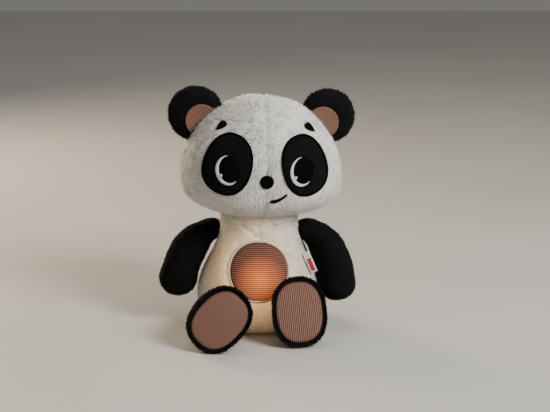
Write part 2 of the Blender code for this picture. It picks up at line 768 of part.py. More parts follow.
def band(inner, outer, low, high, count=9):
    """Points of a ring's stretch around the back opening, between two angles."""
    angles = [low + (high - low) * index / (count - 1) for index in range(count)]
    points = [(outer * math.cos(a), BACK_OPENING_Z + outer * math.sin(a)) for a in angles]
    return points + [(inner * math.cos(a), BACK_OPENING_Z + inner * math.sin(a)) for a in angles[::-1]]


def back_flap():
    plush = material("white_plush", WHITE_PLUSH, 0.95)
    strip = material("hook_and_loop", WHITE_PLASTIC, 0.8)
    loop_top = GAP + STRIP_THICKNESS
    hook_top = loop_top + GAP + STRIP_THICKNESS
    flap_low = hook_top + GAP
    hinge_z = BACK_OPENING_Z + FLAP_TOP
    hinge_y = body_back(hinge_z) + flap_low + FLAP_THICKNESS
    pivot = add_frame("flap_hinge", (0, hinge_y, hinge_z))
    cut_off = math.asin(FLAP_TOP / FLAP_RADIUS)
    steps = 22
    sweep = math.tau - (math.pi - 2 * cut_off)
    angles = [math.pi - cut_off + sweep * index / steps for index in range(steps + 1)]
    outline = [(FLAP_RADIUS * math.cos(a), BACK_OPENING_Z + FLAP_RADIUS * math.sin(a)) for a in angles]
    back_layer("back_flap", prism(outline, 0.004, 0.1), flap_low, flap_low + FLAP_THICKNESS, plush, pivot)
    low, high = math.radians(205), math.radians(335)
    below = band(STRIP_INNER, STRIP_OUTER, low, high)
    back_layer("loop_strip", prism(below, 0.004, 0.1), GAP, loop_top, strip)
    back_layer("hook_strip", prism(below, 0.004, 0.1), loop_top + GAP, hook_top, strip, pivot)


def side_label():
    section = body_section(LABEL_Z)
    depth_share = abs((LABEL_Y - section.centre.y) / section.deep.y)
    edge = section.wide.x * (1 - depth_share**section.power) ** (1 / section.power)
    label = box(
        (-LABEL_WIDTH / 2, -LABEL_THICKNESS / 2, -LABEL_HEIGHT / 2),
        (LABEL_WIDTH / 2, LABEL_THICKNESS / 2, LABEL_HEIGHT / 2),
    )
    lean = Matrix.Rotation(-LABEL_LEAN, 4, "Y")
    middle = Vector((edge + LABEL_WIDTH / 2, LABEL_Y, LABEL_Z))
    label.transform(Matrix.Translation(middle) @ lean)
    piece = add_object("side_label", label, material("label_tape", STITCHED_WHITE, 0.6), smooth=False)
    cut(piece, add_cutter("label_body_cutter", body_form(GAP)))


# ---- window and module: the frame's +Z is the window's outward normal ----


def belly_window(frame):
    shape = rod(WINDOW_RADIUS, module_axis_point(-0.02), module_axis_point(0.02))
    window = add_object("belly_window", shape, material("pink_corduroy", PINK_CORD, 0.9))
    outer = add_cutter("window_outer", body_form())
    inner = add_cutter("window_inner", body_form(-WINDOW_THICKNESS))
    cut(window, outer, operation="INTERSECT")
    cut(window, inner)
    for part in (window, outer, inner):
        hang_on(part, frame)


def window_drop(radius):
    """How far the belly falls back this far to the side of the window's middle."""
    section = body_section(WINDOW_Z)
    across = radius / section.wide.x
    return section.deep.y * (1 - (1 - across**section.power) ** (1 / section.power))


def light_button(frame):
    """The milky cap that is pressed through the window and spreads the light."""
    button_crown = window_drop(BUTTON_RADIUS) + BUTTON_CROWN_ROOM
    crown_sphere = (BUTTON_RADIUS**2 + button_crown**2) / (2 * button_crown)
    flange_face = -(HOUSING_FACE + WALL + GAP)
    steps = 4

    def crown(radius_limit, lowered):
        limit = math.asin(radius_limit / crown_sphere)
        angles = [limit * index / steps for index in range(steps + 1)]
        top = -BUTTON_FACE - crown_sphere
        size = crown_sphere - lowered
        return [(size * math.sin(angle), top + size * math.cos(angle)) for angle in angles]

    outer = crown(BUTTON_RADIUS, 0)
    outer[-1] = (BUTTON_RADIUS, outer[-1][1])
    skirt = BUTTON_RADIUS - BUTTON_WALL
    post, post_end = 0.002, flange_face - 0.0040
    inner = [point for point in crown(skirt, BUTTON_WALL) if point[0] > post]
    profile = outer + [
        (BUTTON_RADIUS, flange_face),
        (BUTTON_RADIUS + WALL, flange_face),
        (BUTTON_RADIUS + WALL, flange_face - BUTTON_WALL),
        (skirt, flange_face - BUTTON_WALL),
    ]
    profile += inner[::-1]
    profile += [(post, inner[0][1]), (post, post_end), (0, post_end)]
    add_object("light_button", turned(profile), material("milky_plastic", MILKY_PLASTIC, 0.4), frame)


def screw_places():
    place = (MODULE_RADIUS - WALL) * 0.905 / math.sqrt(2)
    return ((-place, place), (place, -place))


def housing_back():
    """The depth of the rear housing's back face."""
    return DIVIDER_FACE + BUTTON_WALL + 2 * CELL_RADIUS + 2 * GAP + WALL + 0.0005


def front_housing(frame):
    inner = MODULE_RADIUS - WALL
    mouth = BUTTON_RADIUS + GAP
    profile = [
        (mouth, -HOUSING_FACE),
        (MODULE_RADIUS - EDGE_BREAK, -HOUSING_FACE),
        (MODULE_RADIUS, -HOUSING_FACE - EDGE_BREAK),
        (MODULE_RADIUS, -HOUSING_SPLIT),
        (inner, -HOUSING_SPLIT),
        (inner, -HOUSING_FACE - WALL),
        (mouth, -HOUSING_FACE - WALL),
    ]
    finish = material("white_plastic", WHITE_PLASTIC, 0.4)
    housing = add_object("front_housing", turned(profile), finish, frame)
    for index, (x, y) in enumerate(screw_places()):
        boss = rod(BOSS_RADIUS, (x, y, -HOUSING_SPLIT), (x, y, -HOUSING_SPLIT + BOSS_HEIGHT), 12)
        cut(housing, add_cutter(f"front_boss_{index}", boss, frame), operation="UNION")
        hole_start, hole_end = -HOUSING_SPLIT - WALL, -HOUSING_SPLIT + BOSS_HEIGHT - 2 * GAP
        hole = rod(SCREW_SHANK + GAP, (x, y, hole_start), (x, y, hole_end), 12)
        cut(housing, add_cutter(f"front_boss_hole_{index}", hole, frame))


def rear_housing(frame):
    inner = MODULE_RADIUS - WALL
    back = housing_back()
    split = HOUSING_SPLIT + GAP
    finish = material("white_plastic", WHITE_PLASTIC, 0.4)
    housing = add_object("rear_housing", rear_cup(inner, split, back), finish, frame)
    outside, inside = -back - WALL, -back + 1.5 * WALL
    bay = box((-BAY_HALF_WIDTH, -BAY_HALF_LENGTH, outside), (BAY_HALF_WIDTH, BAY_HALF_LENGTH, inside))
    for index, (x, y) in enumerate(screw_places()):
        boss = rod(BOSS_RADIUS, (x, y, -back + WALL / 2), (x, y, -split), 12)
        cut(housing, add_cutter(f"rear_boss_{index}", boss, frame), operation="UNION")
    cut(housing, add_cutter("battery_opening", bay, frame))
    for index, (x, y) in enumerate(screw_places()):
        hole = rod(SCREW_SHANK + GAP, (x, y, outside), (x, y, 0), 12)
        recess = rod(SCREW_HEAD + GAP, (x, y, outside), (x, y, -back + SCREW_RECESS), 12)
        cut(housing, add_cutter(f"rear_boss_hole_{index}", hole, frame))
        cut(housing, add_cutter(f"rear_boss_recess_{index}", recess, frame))
    door_hole = rod(SCREW_SHANK + GAP, (0, DOOR_SCREW_Y, outside), (0, DOOR_SCREW_Y, inside), 12)
    cut(housing, add_cutter("door_screw_hole", door_hole, frame))
    slot_half = SWITCH_STEM_HALF + GAP
    slot = box(
        (SWITCH_SIDE - slot_half, -SWITCH_TRAVEL - slot_half, outside),
        (SWITCH_SIDE + slot_half, SWITCH_TRAVEL + slot_half, inside),
    )
    cut(housing, add_cutter("switch_slot", slot, frame))
    middle = -(split + DIVIDER_FACE) / 2
    for index in range(5):
        angle = math.radians(230 + 20 * index)
        outward = Vector((math.cos(angle), math.sin(angle), 0))
        start = outward * (inner - WALL) + UP * middle
        end = outward * (MODULE_RADIUS + WALL) + UP * middle
        cut(housing, add_cutter(f"sound_hole_{index}", rod(SOUND_HOLE_RADIUS, start, end, 8), frame))


def rear_cup(inner, split, back):
    """A cup with a floor between the electronics and the cells."""
    divider = DIVIDER_FACE + BUTTON_WALL
    return turned([
        (MODULE_RADIUS, -split),
        (MODULE_RADIUS, -back + EDGE_BREAK),
        (MODULE_RADIUS - EDGE_BREAK, -back),
        (CELL_RADIUS, -back),
        (CELL_RADIUS, -back + WALL),
        (inner, -back + WALL),
        (inner, -divider),
        (0, -divider),
        (0, -DIVIDER_FACE),
        (inner, -DIVIDER_FACE),
        (inner, -split),
    ])


def reflector(frame):
    top = -(HOUSING_FACE + WALL + GAP + BUTTON_WALL + BUTTON_TRAVEL + GAP)
    low = top - REFLECTOR_DEPTH
    edge = MODULE_RADIUS - WALL - 3 * GAP
    profile = [
        (edge, top),
        (edge, top - EDGE_BREAK),
        (REFLECTOR_MOUTH - EDGE_BREAK / 2, top - EDGE_BREAK),
        (REFLECTOR_THROAT, low),
        (REFLECTOR_THROAT, low + EDGE_BREAK),
        (REFLECTOR_MOUTH, top),
    ]
    add_object("reflector", turned(profile), material("white_plastic", WHITE_PLASTIC, 0.4), frame)


def board_face():
    """The height of the board's front, under the pressed button and the reflector."""
    return -(HOUSING_FACE + WALL + BUTTON_WALL + BUTTON_TRAVEL + REFLECTOR_DEPTH + 3 * GAP)


def electronics(frame):
    face = board_face()
    board = rod(BOARD_RADIUS, (0, 0, face), (0, 0, face - BOARD_THICKNESS))
    add_object("circuit_board", board, material("board_green", BOARD_GREEN, 0.5), frame)
    for index in range(LED_COUNT):
        angle = math.radians(90 + 360 / LED_COUNT * index)
        x, y, half = LED_RING * math.cos(angle), LED_RING * math.sin(angle), 0.0014
        led = box((x - half, y - half, face + GAP), (x + half, y + half, face + GAP + 0.0012))
        add_object(f"led_{index + 1}", led, material("led_amber", LED_AMBER, 0.3), frame, smooth=False)
    bottom = face + GAP
    body_box = box((-0.003, -0.003, bottom), (0.003, 0.003, bottom + 0.0012))
    switch = add_object("press_switch", body_box, material("dark_plastic", DARK_PLASTIC, 0.5), frame)
    plunger = rod(0.0013, (0, 0, bottom + 0.0005), (0, 0, bottom + 0.0018), 12)
    cut(switch, add_cutter("press_switch_plunger", plunger, frame), operation="UNION")
    front = -HOUSING_SPLIT - GAP
    back = -DIVIDER_FACE + GAP
    speaker = turned([
        (0, front - 0.0014),
        (0.0040, front - 0.0026),
        (0.0115, front),
        (SPEAKER_RADIUS, front),
        (SPEAKER_RADIUS, front - 0.0012),
        (0.0078, back + 0.0016),
        (0.0078, back),
        (0, back),
    ], 18)
    add_object("speaker", speaker, material("dark_plastic", DARK_PLASTIC, 0.5), frame)


def cells_and_contacts(frame):
    depth = -(DIVIDER_FACE + BUTTON_WALL + GAP + CELL_RADIUS)
    steel = material("spring_steel", STEEL, 0.35, 1.0)
    half = CELL_LENGTH / 2
    plus_end = half + CELL_PLUS_HEIGHT
    for index in range(3):
        x = CELL_PITCH * (index - 1)
        flip = -1 if index == 1 else 1
        profile = [
            (0, -half), (CELL_RADIUS - 0.0004, -half), (CELL_RADIUS, -half + 0.0004),
            (CELL_RADIUS, half - 0.0004), (CELL_RADIUS - 0.0004, half),
            (CELL_PLUS_RADIUS, half), (CELL_PLUS_RADIUS, plus_end), (0, plus_end),
        ]
        place = add_frame(f"cell_place_{index + 1}", (x, 0, depth), (-flip * math.pi / 2, 0, 0), frame)
        add_object(f"battery_{index + 1}", turned(profile, 16), material("cell_wrap", CELL_BLUE, 0.3), place)
        contact_spring(index, place, -half - GAP, steel)
        plate_low = plus_end + GAP
        plate_half = 2 * CELL_PLUS_RADIUS
        plate = box(
            (-plate_half, -plate_half, plate_low), (plate_half, plate_half, plate_low + PLATE_THICKNESS)
        )
        add_object(f"contact_plate_{index + 1}", plate, steel, place, smooth=False)


def contact_spring(index, place, top, steel):
    """A short coil that narrows towards the cell."""
    turns, wire, height = 2, 0.0003, 0.0016
    steps = 14
    curve = bpy.data.curves.new(f"contact_spring_{index + 1}", "CURVE")
    curve.dimensions = "3D"
    curve.bevel_depth = wire
    curve.bevel_resolution = 0
    curve.use_fill_caps = True
    spline = curve.splines.new("POLY")
    spline.points.add(steps)
    for number, point in enumerate(spline.points):
        share = number / steps
        angle = math.tau * turns * share
        radius = 0.0018 + 0.0016 * share
        z = top - wire - height * share
        point.co = (radius * math.cos(angle), radius * math.sin(angle), z, 1)
    curve.materials.append(steel)
    spring = bpy.data.objects.new(curve.name, curve)
    bpy.context.scene.collection.objects.link(spring)
    spring.parent = place


def screw(name, frame, place, head_top, length):
    """A pan-head screw that points towards the window; head_top is its outer face."""
    x, y = place
    profile = [
        (0, head_top), (SCREW_HEAD * 0.7, head_top), (SCREW_HEAD, head_top + 0.0006),
        (SCREW_HEAD, head_top + SCREW_HEAD_HEIGHT), (SCREW_SHANK, head_top + SCREW_HEAD_HEIGHT),
        (SCREW_SHANK, head_top + length - 0.0008), (0, head_top + length),
    ]
    bm = turned(profile, 12)
    bm.transform(Matrix.Translation((x, y, 0)))
    add_object(name, bm, material("spring_steel", STEEL, 0.35, 1.0), frame)


def battery_door(frame):
    back = housing_back()
    low, high = -back - GAP - DOOR_THICKNESS, -back - GAP
    disc = rod(DOOR_RADIUS, (0, 0, low), (0, 0, high))
    door = add_object("battery_door", disc, material("white_plastic", WHITE_PLASTIC, 0.4), frame)
    side = box(
        (-DOOR_HALF_WIDTH, -MODULE_RADIUS, low - WALL), (DOOR_HALF_WIDTH, MODULE_RADIUS, high + WALL)
    )
    cut(door, add_cutter("door_sides", side, frame), operation="INTERSECT")
    hole = rod(SCREW_SHANK + GAP, (0, DOOR_SCREW_Y, low - WALL), (0, DOOR_SCREW_Y, high + WALL), 12)
    cut(door, add_cutter("door_hole", hole, frame))
    length = SCREW_HEAD_HEIGHT + DOOR_THICKNESS + WALL
    screw("door_screw", frame, (0, DOOR_SCREW_Y), low - GAP - SCREW_HEAD_HEIGHT, length)


def mode_switch(frame):
    back = housing_back()
    inside = -back + WALL + GAP
    half, foot_half = SWITCH_STEM_HALF, 1.5 * SWITCH_STEM_HALF
    foot = box(
        (SWITCH_SIDE - foot_half, -foot_half, inside),
        (SWITCH_SIDE + foot_half, foot_half, inside + SWITCH_FOOT),
    )
    dark = material("dark_plastic", DARK_PLASTIC, 0.5)
    knob = add_object("mode_switch", foot, dark, frame, smooth=False)
    stem = box(
        (SWITCH_SIDE - half, -half, -back - SWITCH_FOOT),
        (SWITCH_SIDE + half, half, inside + SWITCH_FOOT / 2),
    )
    cut(knob, add_cutter("switch_stem", stem, frame), operation="UNION")


def module(frame):
    belly_window(frame)
    light_button(frame)
    front_housing(frame)
    rear_housing(frame)
    reflector(frame)
    electronics(frame)
    cells_and_contacts(frame)
    for index, place in enumerate(screw_places()):
        head_top = -housing_back() + GAP
        screw(f"housing_screw_{index + 1}", frame, place, head_top, housing_back() - HOUSING_SPLIT + 0.003)
    battery_door(frame)
    mode_switch(frame)


def build():
    for obj in list(bpy.data.objects):
        bpy.data.objects.remove(obj)
    neck_pivot = add_frame("neck_pivot", (0, 0, BODY_TOP_Z + GAP))
    head_frame = add_frame("head_frame", (0, 0, 0), (0, HEAD_TILTED, HEAD_TURNED), neck_pivot)
    head_cover_and_stuffing(head_frame)
    ears(head_frame)
    eyes(head_frame)
    nose_mouth_and_brows(head_frame)
    neck(neck_pivot)
    body()
    module_pouch()
    back_flap()
    side_label()
    arms()
    legs()
    module(add_frame("module_frame", module_axis_point(0), (math.pi / 2 - WINDOW_LEAN, 0, 0)))


build()
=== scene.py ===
"""A seated plush panda as it looks: sewn plush with its pile, corduroy, a stitched face and a lit belly.

Metres, +Z up, the panda faces -Y and its left is +X. Every shape is made in the row frame.
"""

import math
from collections import namedtuple

import bmesh
import bpy
import numpy as np
from mathutils import Euler, Matrix, Vector, noise


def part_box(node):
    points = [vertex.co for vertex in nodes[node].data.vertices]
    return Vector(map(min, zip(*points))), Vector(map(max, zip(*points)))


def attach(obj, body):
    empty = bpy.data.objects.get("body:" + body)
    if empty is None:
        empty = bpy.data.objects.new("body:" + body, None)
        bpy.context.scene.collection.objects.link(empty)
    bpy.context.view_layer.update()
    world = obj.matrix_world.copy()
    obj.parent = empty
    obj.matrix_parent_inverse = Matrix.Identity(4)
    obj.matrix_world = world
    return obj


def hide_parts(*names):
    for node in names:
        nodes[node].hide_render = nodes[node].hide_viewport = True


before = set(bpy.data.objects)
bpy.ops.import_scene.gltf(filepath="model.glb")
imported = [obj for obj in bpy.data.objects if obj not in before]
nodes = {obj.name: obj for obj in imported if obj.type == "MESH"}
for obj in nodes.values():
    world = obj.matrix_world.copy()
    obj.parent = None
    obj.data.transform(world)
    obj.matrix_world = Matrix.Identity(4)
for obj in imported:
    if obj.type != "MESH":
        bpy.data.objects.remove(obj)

# Without a seed of its own the noise that leans the pile would start from the clock.
noise.seed_set(4)
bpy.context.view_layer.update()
Section = namedtuple("Section", "centre wide deep power")
Tuft = namedtuple("Tuft", "length width spacing lean")
SIDES = (("left", 1), ("right", -1))

# ---- sizes shared with the solids ----

BODY_HALF_WIDTH, BODY_FRONT, BODY_BACK = 0.0625, 0.0555, 0.0520
BODY_WIDEST_Z, BODY_TOP_Z, SEAT_SHARE, NECK_RADIUS = 0.030, 0.109, 0.74, 0.0385
HEAD_HALF_WIDTH, HEAD_HALF_DEPTH = 0.0789, 0.0630
HEAD_WIDEST, HEAD_ABOVE, HEAD_BELOW, HEAD_BOXINESS = 0.0425, 0.0780, 0.0370, 2.6
NECK_PIVOT = Vector((0, 0, BODY_TOP_Z + 0.0003))
HEAD_PLACE = Matrix.Translation(NECK_PIVOT) @ Euler(
    (0, math.radians(2.2), math.radians(6))
).to_matrix().to_4x4()
INTO_HEAD = HEAD_PLACE.inverted()
EAR_RADIUS, EAR_HALF_THICKNESS, EAR_PAD_RADIUS = 0.0270, 0.0075, 0.0160
EAR_SIDE, EAR_BACK, EAR_HEIGHT, EAR_PAD_SHIFT = 0.0655, 0.0080, 0.1010, 0.0055
SHOULDER, ARM_ROOT, ARM_RADIUS, ARM_FLATNESS = Vector((0.0470, 0, 0.0955)), 0.0115, 0.0188, 0.86
ARM_ELBOW = Vector((0.0255, 0, -0.0105))
HANDS = {"left": Vector((0.0309, -0.020, -0.0492)), "right": Vector((0.0345, -0.010, -0.0475))}
HIP, LEG_ROOT, LEG_STRAIGHT = Vector((0.0420, -0.0400, 0.0225)), 0.0185, 0.0120
FOOT_LONG, FOOT_SHORT, SOLE_LONG, SOLE_SHORT = 0.0340, 0.0268, 0.0305, 0.0233
SOLE_TILT, SOLE_TURN = math.radians(15), math.radians(7)
SOLES = {
    "left": (Vector((0.0393, -0.0800, 0.0345)), math.radians(4)),
    "right": (Vector((0.0366, -0.0956, 0.0315)), math.radians(-42)),
}
WINDOW_Z, WINDOW_RADIUS = 0.0650, 0.0294
BACK_OPENING_Z, BACK_OPENING_RADIUS = 0.0530, 0.0345
FLAP_RADIUS, FLAP_TOP = 0.0395, 0.0330
WALE, RIB_HEIGHT = 0.00185, 0.00055
SOLE_BOXINESS, FACE_BOXINESS = 2.45, 2.15


# ---- materials ----

# A Mix node's sockets by number, because its colour sockets share their names with the others.
MIX_SHARE, MIX_FIRST, MIX_SECOND, MIX_RESULT = 0, 6, 7, 2
LAMP_PLACE, LAMP_REACH = (0.002, -0.052, 0.058), 0.037
WINDOW_GLOW = [
    (0.0, (0.01, 0.001, 0.0)),
    (0.10, (0.06, 0.012, 0.004)),
    (0.30, (0.42, 0.090, 0.016)),
    (0.8, (1.0, 0.22, 0.020)),
    (1.0, (1.0, 0.27, 0.030)),
]
# The painted glow of the lamp's light on the plush: its middle, its reach and its colours.
CLOTH_GLOW_PLACE, CLOTH_GLOW_RADIUS = (-0.003, -0.050, 0.060), 0.066
CLOTH_GLOW = [
    (0.0, (0, 0, 0)),
    (0.06, (0.09, 0.048, 0.015)),
    (0.22, (0.30, 0.165, 0.050)),
    (0.6, (0.80, 0.42, 0.11)),
]


def shader_of(name, colour, roughness, metallic=0.0, sheen=0.0, sheen_roughness=0.4, specular=0.5):
    """A new material with its plain values on the shader's own sockets."""
    made = bpy.data.materials.new(name)
    made.use_nodes = True
    shader = made.node_tree.nodes["Principled BSDF"]
    shader.inputs["Base Color"].default_value = (*colour, 1)
    shader.inputs["Roughness"].default_value = roughness
    shader.inputs["Metallic"].default_value = metallic
    shader.inputs["Sheen Weight"].default_value = sheen
    shader.inputs["Sheen Roughness"].default_value = sheen_roughness
    shader.inputs["Specular IOR Level"].default_value = specular
    return made, shader


def add_node(finish, kind, **settings):
    """A node with its values set: on its sockets where it has them, and else on the node itself."""
    node = finish.node_tree.nodes.new(kind)
    for name, value in settings.items():
        if name in node.inputs:
            node.inputs[name].default_value = value
        else:
            setattr(node, name.lower(), value)
    return node


def join(finish, source, target):
    """Links an output to a socket."""
    finish.node_tree.links.new(source, target)


def ramp(finish, source, stops):
    """A colour ramp fed by source, with (position, colour) stops."""
    node = add_node(finish, "ShaderNodeValToRGB")
    elements = node.color_ramp.elements
    while len(elements) < len(stops):
        elements.new(0.5)
    for element, (position, colour) in zip(elements, stops):
        element.position = position
        element.color = (*colour, 1)
    join(finish, source, node.inputs["Fac"])
    return node.outputs["Color"]


def colour_by(finish, shader, source, stops):
    """Colours a finish from a ramp fed by source."""
    join(finish, ramp(finish, source, stops), shader.inputs["Base Color"])


def glow_with(shader, colour, strength):
    """An even glow of its own."""
    shader.inputs["Emission Color"].default_value = (*colour, 1)
    shader.inputs["Emission Strength"].default_value = strength


def carried(finish):
    """What a piece's points carry: a tuft's way from root to tip, or the height of a corduroy rib; the
    finishes paint shade where it is low.
    """
    return add_node(finish, "ShaderNodeAttribute", attribute_name="along").outputs["Fac"]


def object_noise(finish, scale, detail=3.0):
    """Noise on the piece's own coordinates."""
    where = add_node(finish, "ShaderNodeTexCoord")
    grain = add_node(finish, "ShaderNodeTexNoise", Scale=scale, Detail=detail)
    join(finish, where.outputs["Object"], grain.inputs["Vector"])
    return grain.outputs["Fac"]


def bump(finish, shader, height, strength, distance):
    """Relief from height, without moving the surface."""
    node = add_node(finish, "ShaderNodeBump", Strength=strength, Distance=distance)
    join(finish, height, node.inputs["Height"])
    join(finish, node.outputs["Normal"], shader.inputs["Normal"])


def falloff(finish, centre, radius, stretch=(1, 1, 1)):
    """1 at a centre on the piece, falling to 0 at radius."""
    where = add_node(finish, "ShaderNodeTexCoord")
    place = add_node(finish, "ShaderNodeMapping")
    scale = [share / radius for share in stretch]
    place.inputs["Scale"].default_value = scale
    place.inputs["Location"].default_value = [-c * s for c, s in zip(centre, scale)]
    fade = add_node(finish, "ShaderNodeTexGradient", gradient_type="QUADRATIC_SPHERE")
    join(finish, where.outputs["Object"], place.inputs["Vector"])
    join(finish, place.outputs["Vector"], fade.inputs["Vector"])
    return fade.outputs["Fac"]


def mottled(name, dark, light, roughness, scale, grain, sheen=0.0, depth=0.0003):
    """A matt finish whose colour drifts, with a fine grain in relief."""
    finish, shader = shader_of(name, light, roughness, sheen=sheen)
    colour_by(finish, shader, object_noise(finish, scale), [(0.35, dark), (0.65, light)])
    bump(finish, shader, object_noise(finish, grain, 2), 0.5, depth)
    return finish


def plush_skin(name, dark, light, sheen, glow=0.0):
    """The knitted ground that the pile stands on."""
    finish, shader = shader_of(name, light, 0.95, sheen=sheen, sheen_roughness=0.5, specular=0.15)
    colour_by(finish, shader, object_noise(finish, 220, 4), [(0.3, dark), (0.7, light)])
    bump(finish, shader, object_noise(finish, 900, 3), 0.8, 0.0005)
    if glow:
        paint_lamp_glow(finish, shader, glow)
    return finish


def pile(name, root, tip, sheen, glow=0.0):
    """Fibres: darker towards the root with painted shade from the pile around them, and each a little
    different.
    """
    finish, shader = shader_of(name, tip, 0.85, sheen=sheen, sheen_roughness=0.45, specular=0.2)
    colour_by(finish, shader, carried(finish), [(0.0, root), (0.75, tip)])
    if glow:
        paint_lamp_glow(finish, shader, glow)
    return finish


def paint_lamp_glow(finish, shader, strength):
    """A painted glow for the warm light that leaves the belly through the plush, strongest round and below
    the window.
    """
    near = falloff(finish, CLOTH_GLOW_PLACE, CLOTH_GLOW_RADIUS, (1.0, 0.8, 0.95))
    join(finish, ramp(finish, near, CLOTH_GLOW), shader.inputs["Emission Color"])
    shader.inputs["Emission Strength"].default_value = strength


def corduroy(name, dark, light):
    """Corduroy nap: lighter on the ribs and darker in the grooves between them, a painted shade, with a fine
    twill between.
    """
    finish, shader = shader_of(name, light, 0.9, sheen=0.15, sheen_roughness=0.4, specular=0.2)
    colour_by(finish, shader, carried(finish), [(0.3, dark), (0.95, light)])
    bump(finish, shader, object_noise(finish, 1400, 3), 0.6, 0.0004)
    return finish, shader


def stitched(name, dark, light, roughness, direction):
    """Satin stitch: close threads lying side by side."""
    finish, shader = shader_of(name, light, roughness, specular=0.04)
    where = add_node(finish, "ShaderNodeTexCoord")
    place = add_node(finish, "ShaderNodeMapping", Rotation=direction)
    threads = add_node(finish, "ShaderNodeTexWave", Scale=420.0, Distortion=1.5, Detail=2.0)
    join(finish, where.outputs["Object"], place.inputs["Vector"])
    join(finish, place.outputs["Vector"], threads.inputs["Vector"])
    colour_by(finish, shader, threads.outputs["Fac"], [(0.1, dark), (0.7, light)])
    bump(finish, shader, threads.outputs["Fac"], 0.6, 0.0003)
    return finish


def moulded(name, colour, roughness, metallic=0.0, glow=None, strength=0.0):
    """A moulded or pressed part with a faint texture, and a glow of its own where it has one."""
    finish, shader = shader_of(name, colour, roughness, metallic)
    darker = tuple(0.82 * share for share in colour)
    colour_by(finish, shader, object_noise(finish, 90, 2), [(0.3, darker), (0.7, colour)])
    bump(finish, shader, object_noise(finish, 1600, 2), 0.15, 0.0001)
    if glow:
        glow_with(shader, glow, strength)
    return finish


def lit_window_cloth():
    """Corduroy over the lamp: amber in the middle, dusty pink at the rim."""
    finish, shader = corduroy("window_corduroy", (0.05, 0.018, 0.012), (0.25, 0.120, 0.085))
    near = falloff(finish, LAMP_PLACE, LAMP_REACH)
    # The glow is dimmed in the grooves between the ribs: painted shade.
    dim = ramp(finish, carried(finish), [(0.3, (0.16, 0.12, 0.10)), (0.95, (1, 1, 1))])
    mixed = add_node(finish, "ShaderNodeMix", data_type="RGBA", blend_type="MULTIPLY")
    mixed.inputs[MIX_SHARE].default_value = 1.0
    join(finish, ramp(finish, near, WINDOW_GLOW), mixed.inputs[MIX_FIRST])
    join(finish, dim, mixed.inputs[MIX_SECOND])
    join(finish, mixed.outputs[MIX_RESULT], shader.inputs["Emission Color"])
    shader.inputs["Emission Strength"].default_value = 1.5
    return finish


WHITE_DARK, WHITE_LIGHT = (0.58, 0.55, 0.49), (0.84, 0.81, 0.75)
BLACK_DARK, BLACK_LIGHT = (0.0015, 0.0015, 0.0017), (0.004, 0.004, 0.0044)
THREAD_DARK, THREAD_LIGHT = (0.0002, 0.0002, 0.0002), (0.0015, 0.0015, 0.0017)
BOARD_GREEN, TRACK_GREEN = (0.02, 0.17, 0.07), (0.035, 0.26, 0.10)
FINISHES = {
    "head_skin": plush_skin("white_plush_ground", WHITE_DARK, WHITE_LIGHT, 0.2),
    "head_pile": pile("white_pile", (0.60, 0.57, 0.51), (0.90, 0.87, 0.81), 0.2),
    # The body's plush ground and pile carry the painted glow of the lamp's light round the window.
    "body_skin": plush_skin("lit_plush_ground", (0.50, 0.46, 0.39), (0.76, 0.71, 0.62), 0.15, 1.5),
    "body_pile": pile("lit_white_pile", (0.50, 0.46, 0.39), (0.84, 0.79, 0.70), 0.2, 1.5),
    "black_skin": plush_skin("black_plush_ground", BLACK_DARK, BLACK_LIGHT, 0.008),
    "black_pile": pile("black_pile", (0.0008, 0.0008, 0.0008), (0.0035, 0.0035, 0.0038), 0.014),
    "patch": plush_skin("eye_patch_plush", (0.001, 0.001, 0.001), (0.003, 0.003, 0.0033), 0.012),
    "corduroy": corduroy("pink_corduroy", (0.075, 0.034, 0.024), (0.31, 0.160, 0.115))[0],
    "window": lit_window_cloth(),
    "black_thread": stitched("black_satin_stitch", THREAD_DARK, THREAD_LIGHT, 0.6, (0, 0.6, 0)),
    "white_thread": stitched("white_satin_stitch", (0.38, 0.40, 0.45), (0.80, 0.82, 0.88), 0.45, (0, 0.9, 0)),
    "pink_thread": stitched("pale_pink_edging", (0.55, 0.36, 0.30), (0.88, 0.66, 0.56), 0.4, (0, 1.2, 0)),
    "filling": mottled("polyester_filling", (0.62, 0.62, 0.60), (0.86, 0.86, 0.85), 0.95, 130, 700, 0.3),
    "lining": mottled(
        "pouch_lining_cloth", (0.27, 0.26, 0.25), (0.33, 0.32, 0.31), 0.9, 500, 1500, depth=0.0001
    ),
    "tape": mottled("hook_and_loop_tape", (0.45, 0.45, 0.43), (0.75, 0.75, 0.73), 0.85, 500, 1400, 0.2),
    "label": mottled("woven_label_tape", (0.62, 0.61, 0.60), (0.84, 0.83, 0.82), 0.6, 400, 1800),
    "label_red": mottled("red_label_border", (0.30, 0.012, 0.014), (0.50, 0.022, 0.025), 0.6, 400, 1800),
}


# ---- shapes ----


def section_point(section, angle):
    """The place on a section's outline at this angle."""
    across, through = math.cos(angle), math.sin(angle)
    power = 2 / section.power
    wide = section.wide * math.copysign(abs(across) ** power, across)
    deep = section.deep * math.copysign(abs(through) ** power, through)
    return section.centre + wide + deep


def loft(sections, segments):
    """A closed cushion form through oval sections, its ends filled with a fan."""
    bm = bmesh.new()
    slot = bm.verts.layers.int.new("slot")
    ring = bmesh.ops.create_circle(bm, cap_ends=False, segments=segments, radius=1)["verts"]
    for index, vert in enumerate(ring):
        vert[slot] = index
    edges = bm.edges[:]
    first = list(ring)
    for index, section in enumerate(sections):
        if index:
            made = bmesh.ops.extrude_edge_only(bm, edges=edges)["geom"]
            ring = [part for part in made if isinstance(part, bmesh.types.BMVert)]
            rim = set(ring)
            edges = [e for e in made if isinstance(e, bmesh.types.BMEdge) and all(v in rim for v in e.verts)]
        for vert in ring:
            vert.co = section_point(section, math.tau * vert[slot] / segments)
    for end in (first, ring):
        rim = [e for e in bm.edges if e.is_boundary and e.verts[0] in set(end)]
        cap = bmesh.ops.edgeloop_fill(bm, edges=rim)["faces"]
        bmesh.ops.poke(bm, faces=cap)
    bmesh.ops.recalc_face_normals(bm, faces=bm.faces)
    return bm


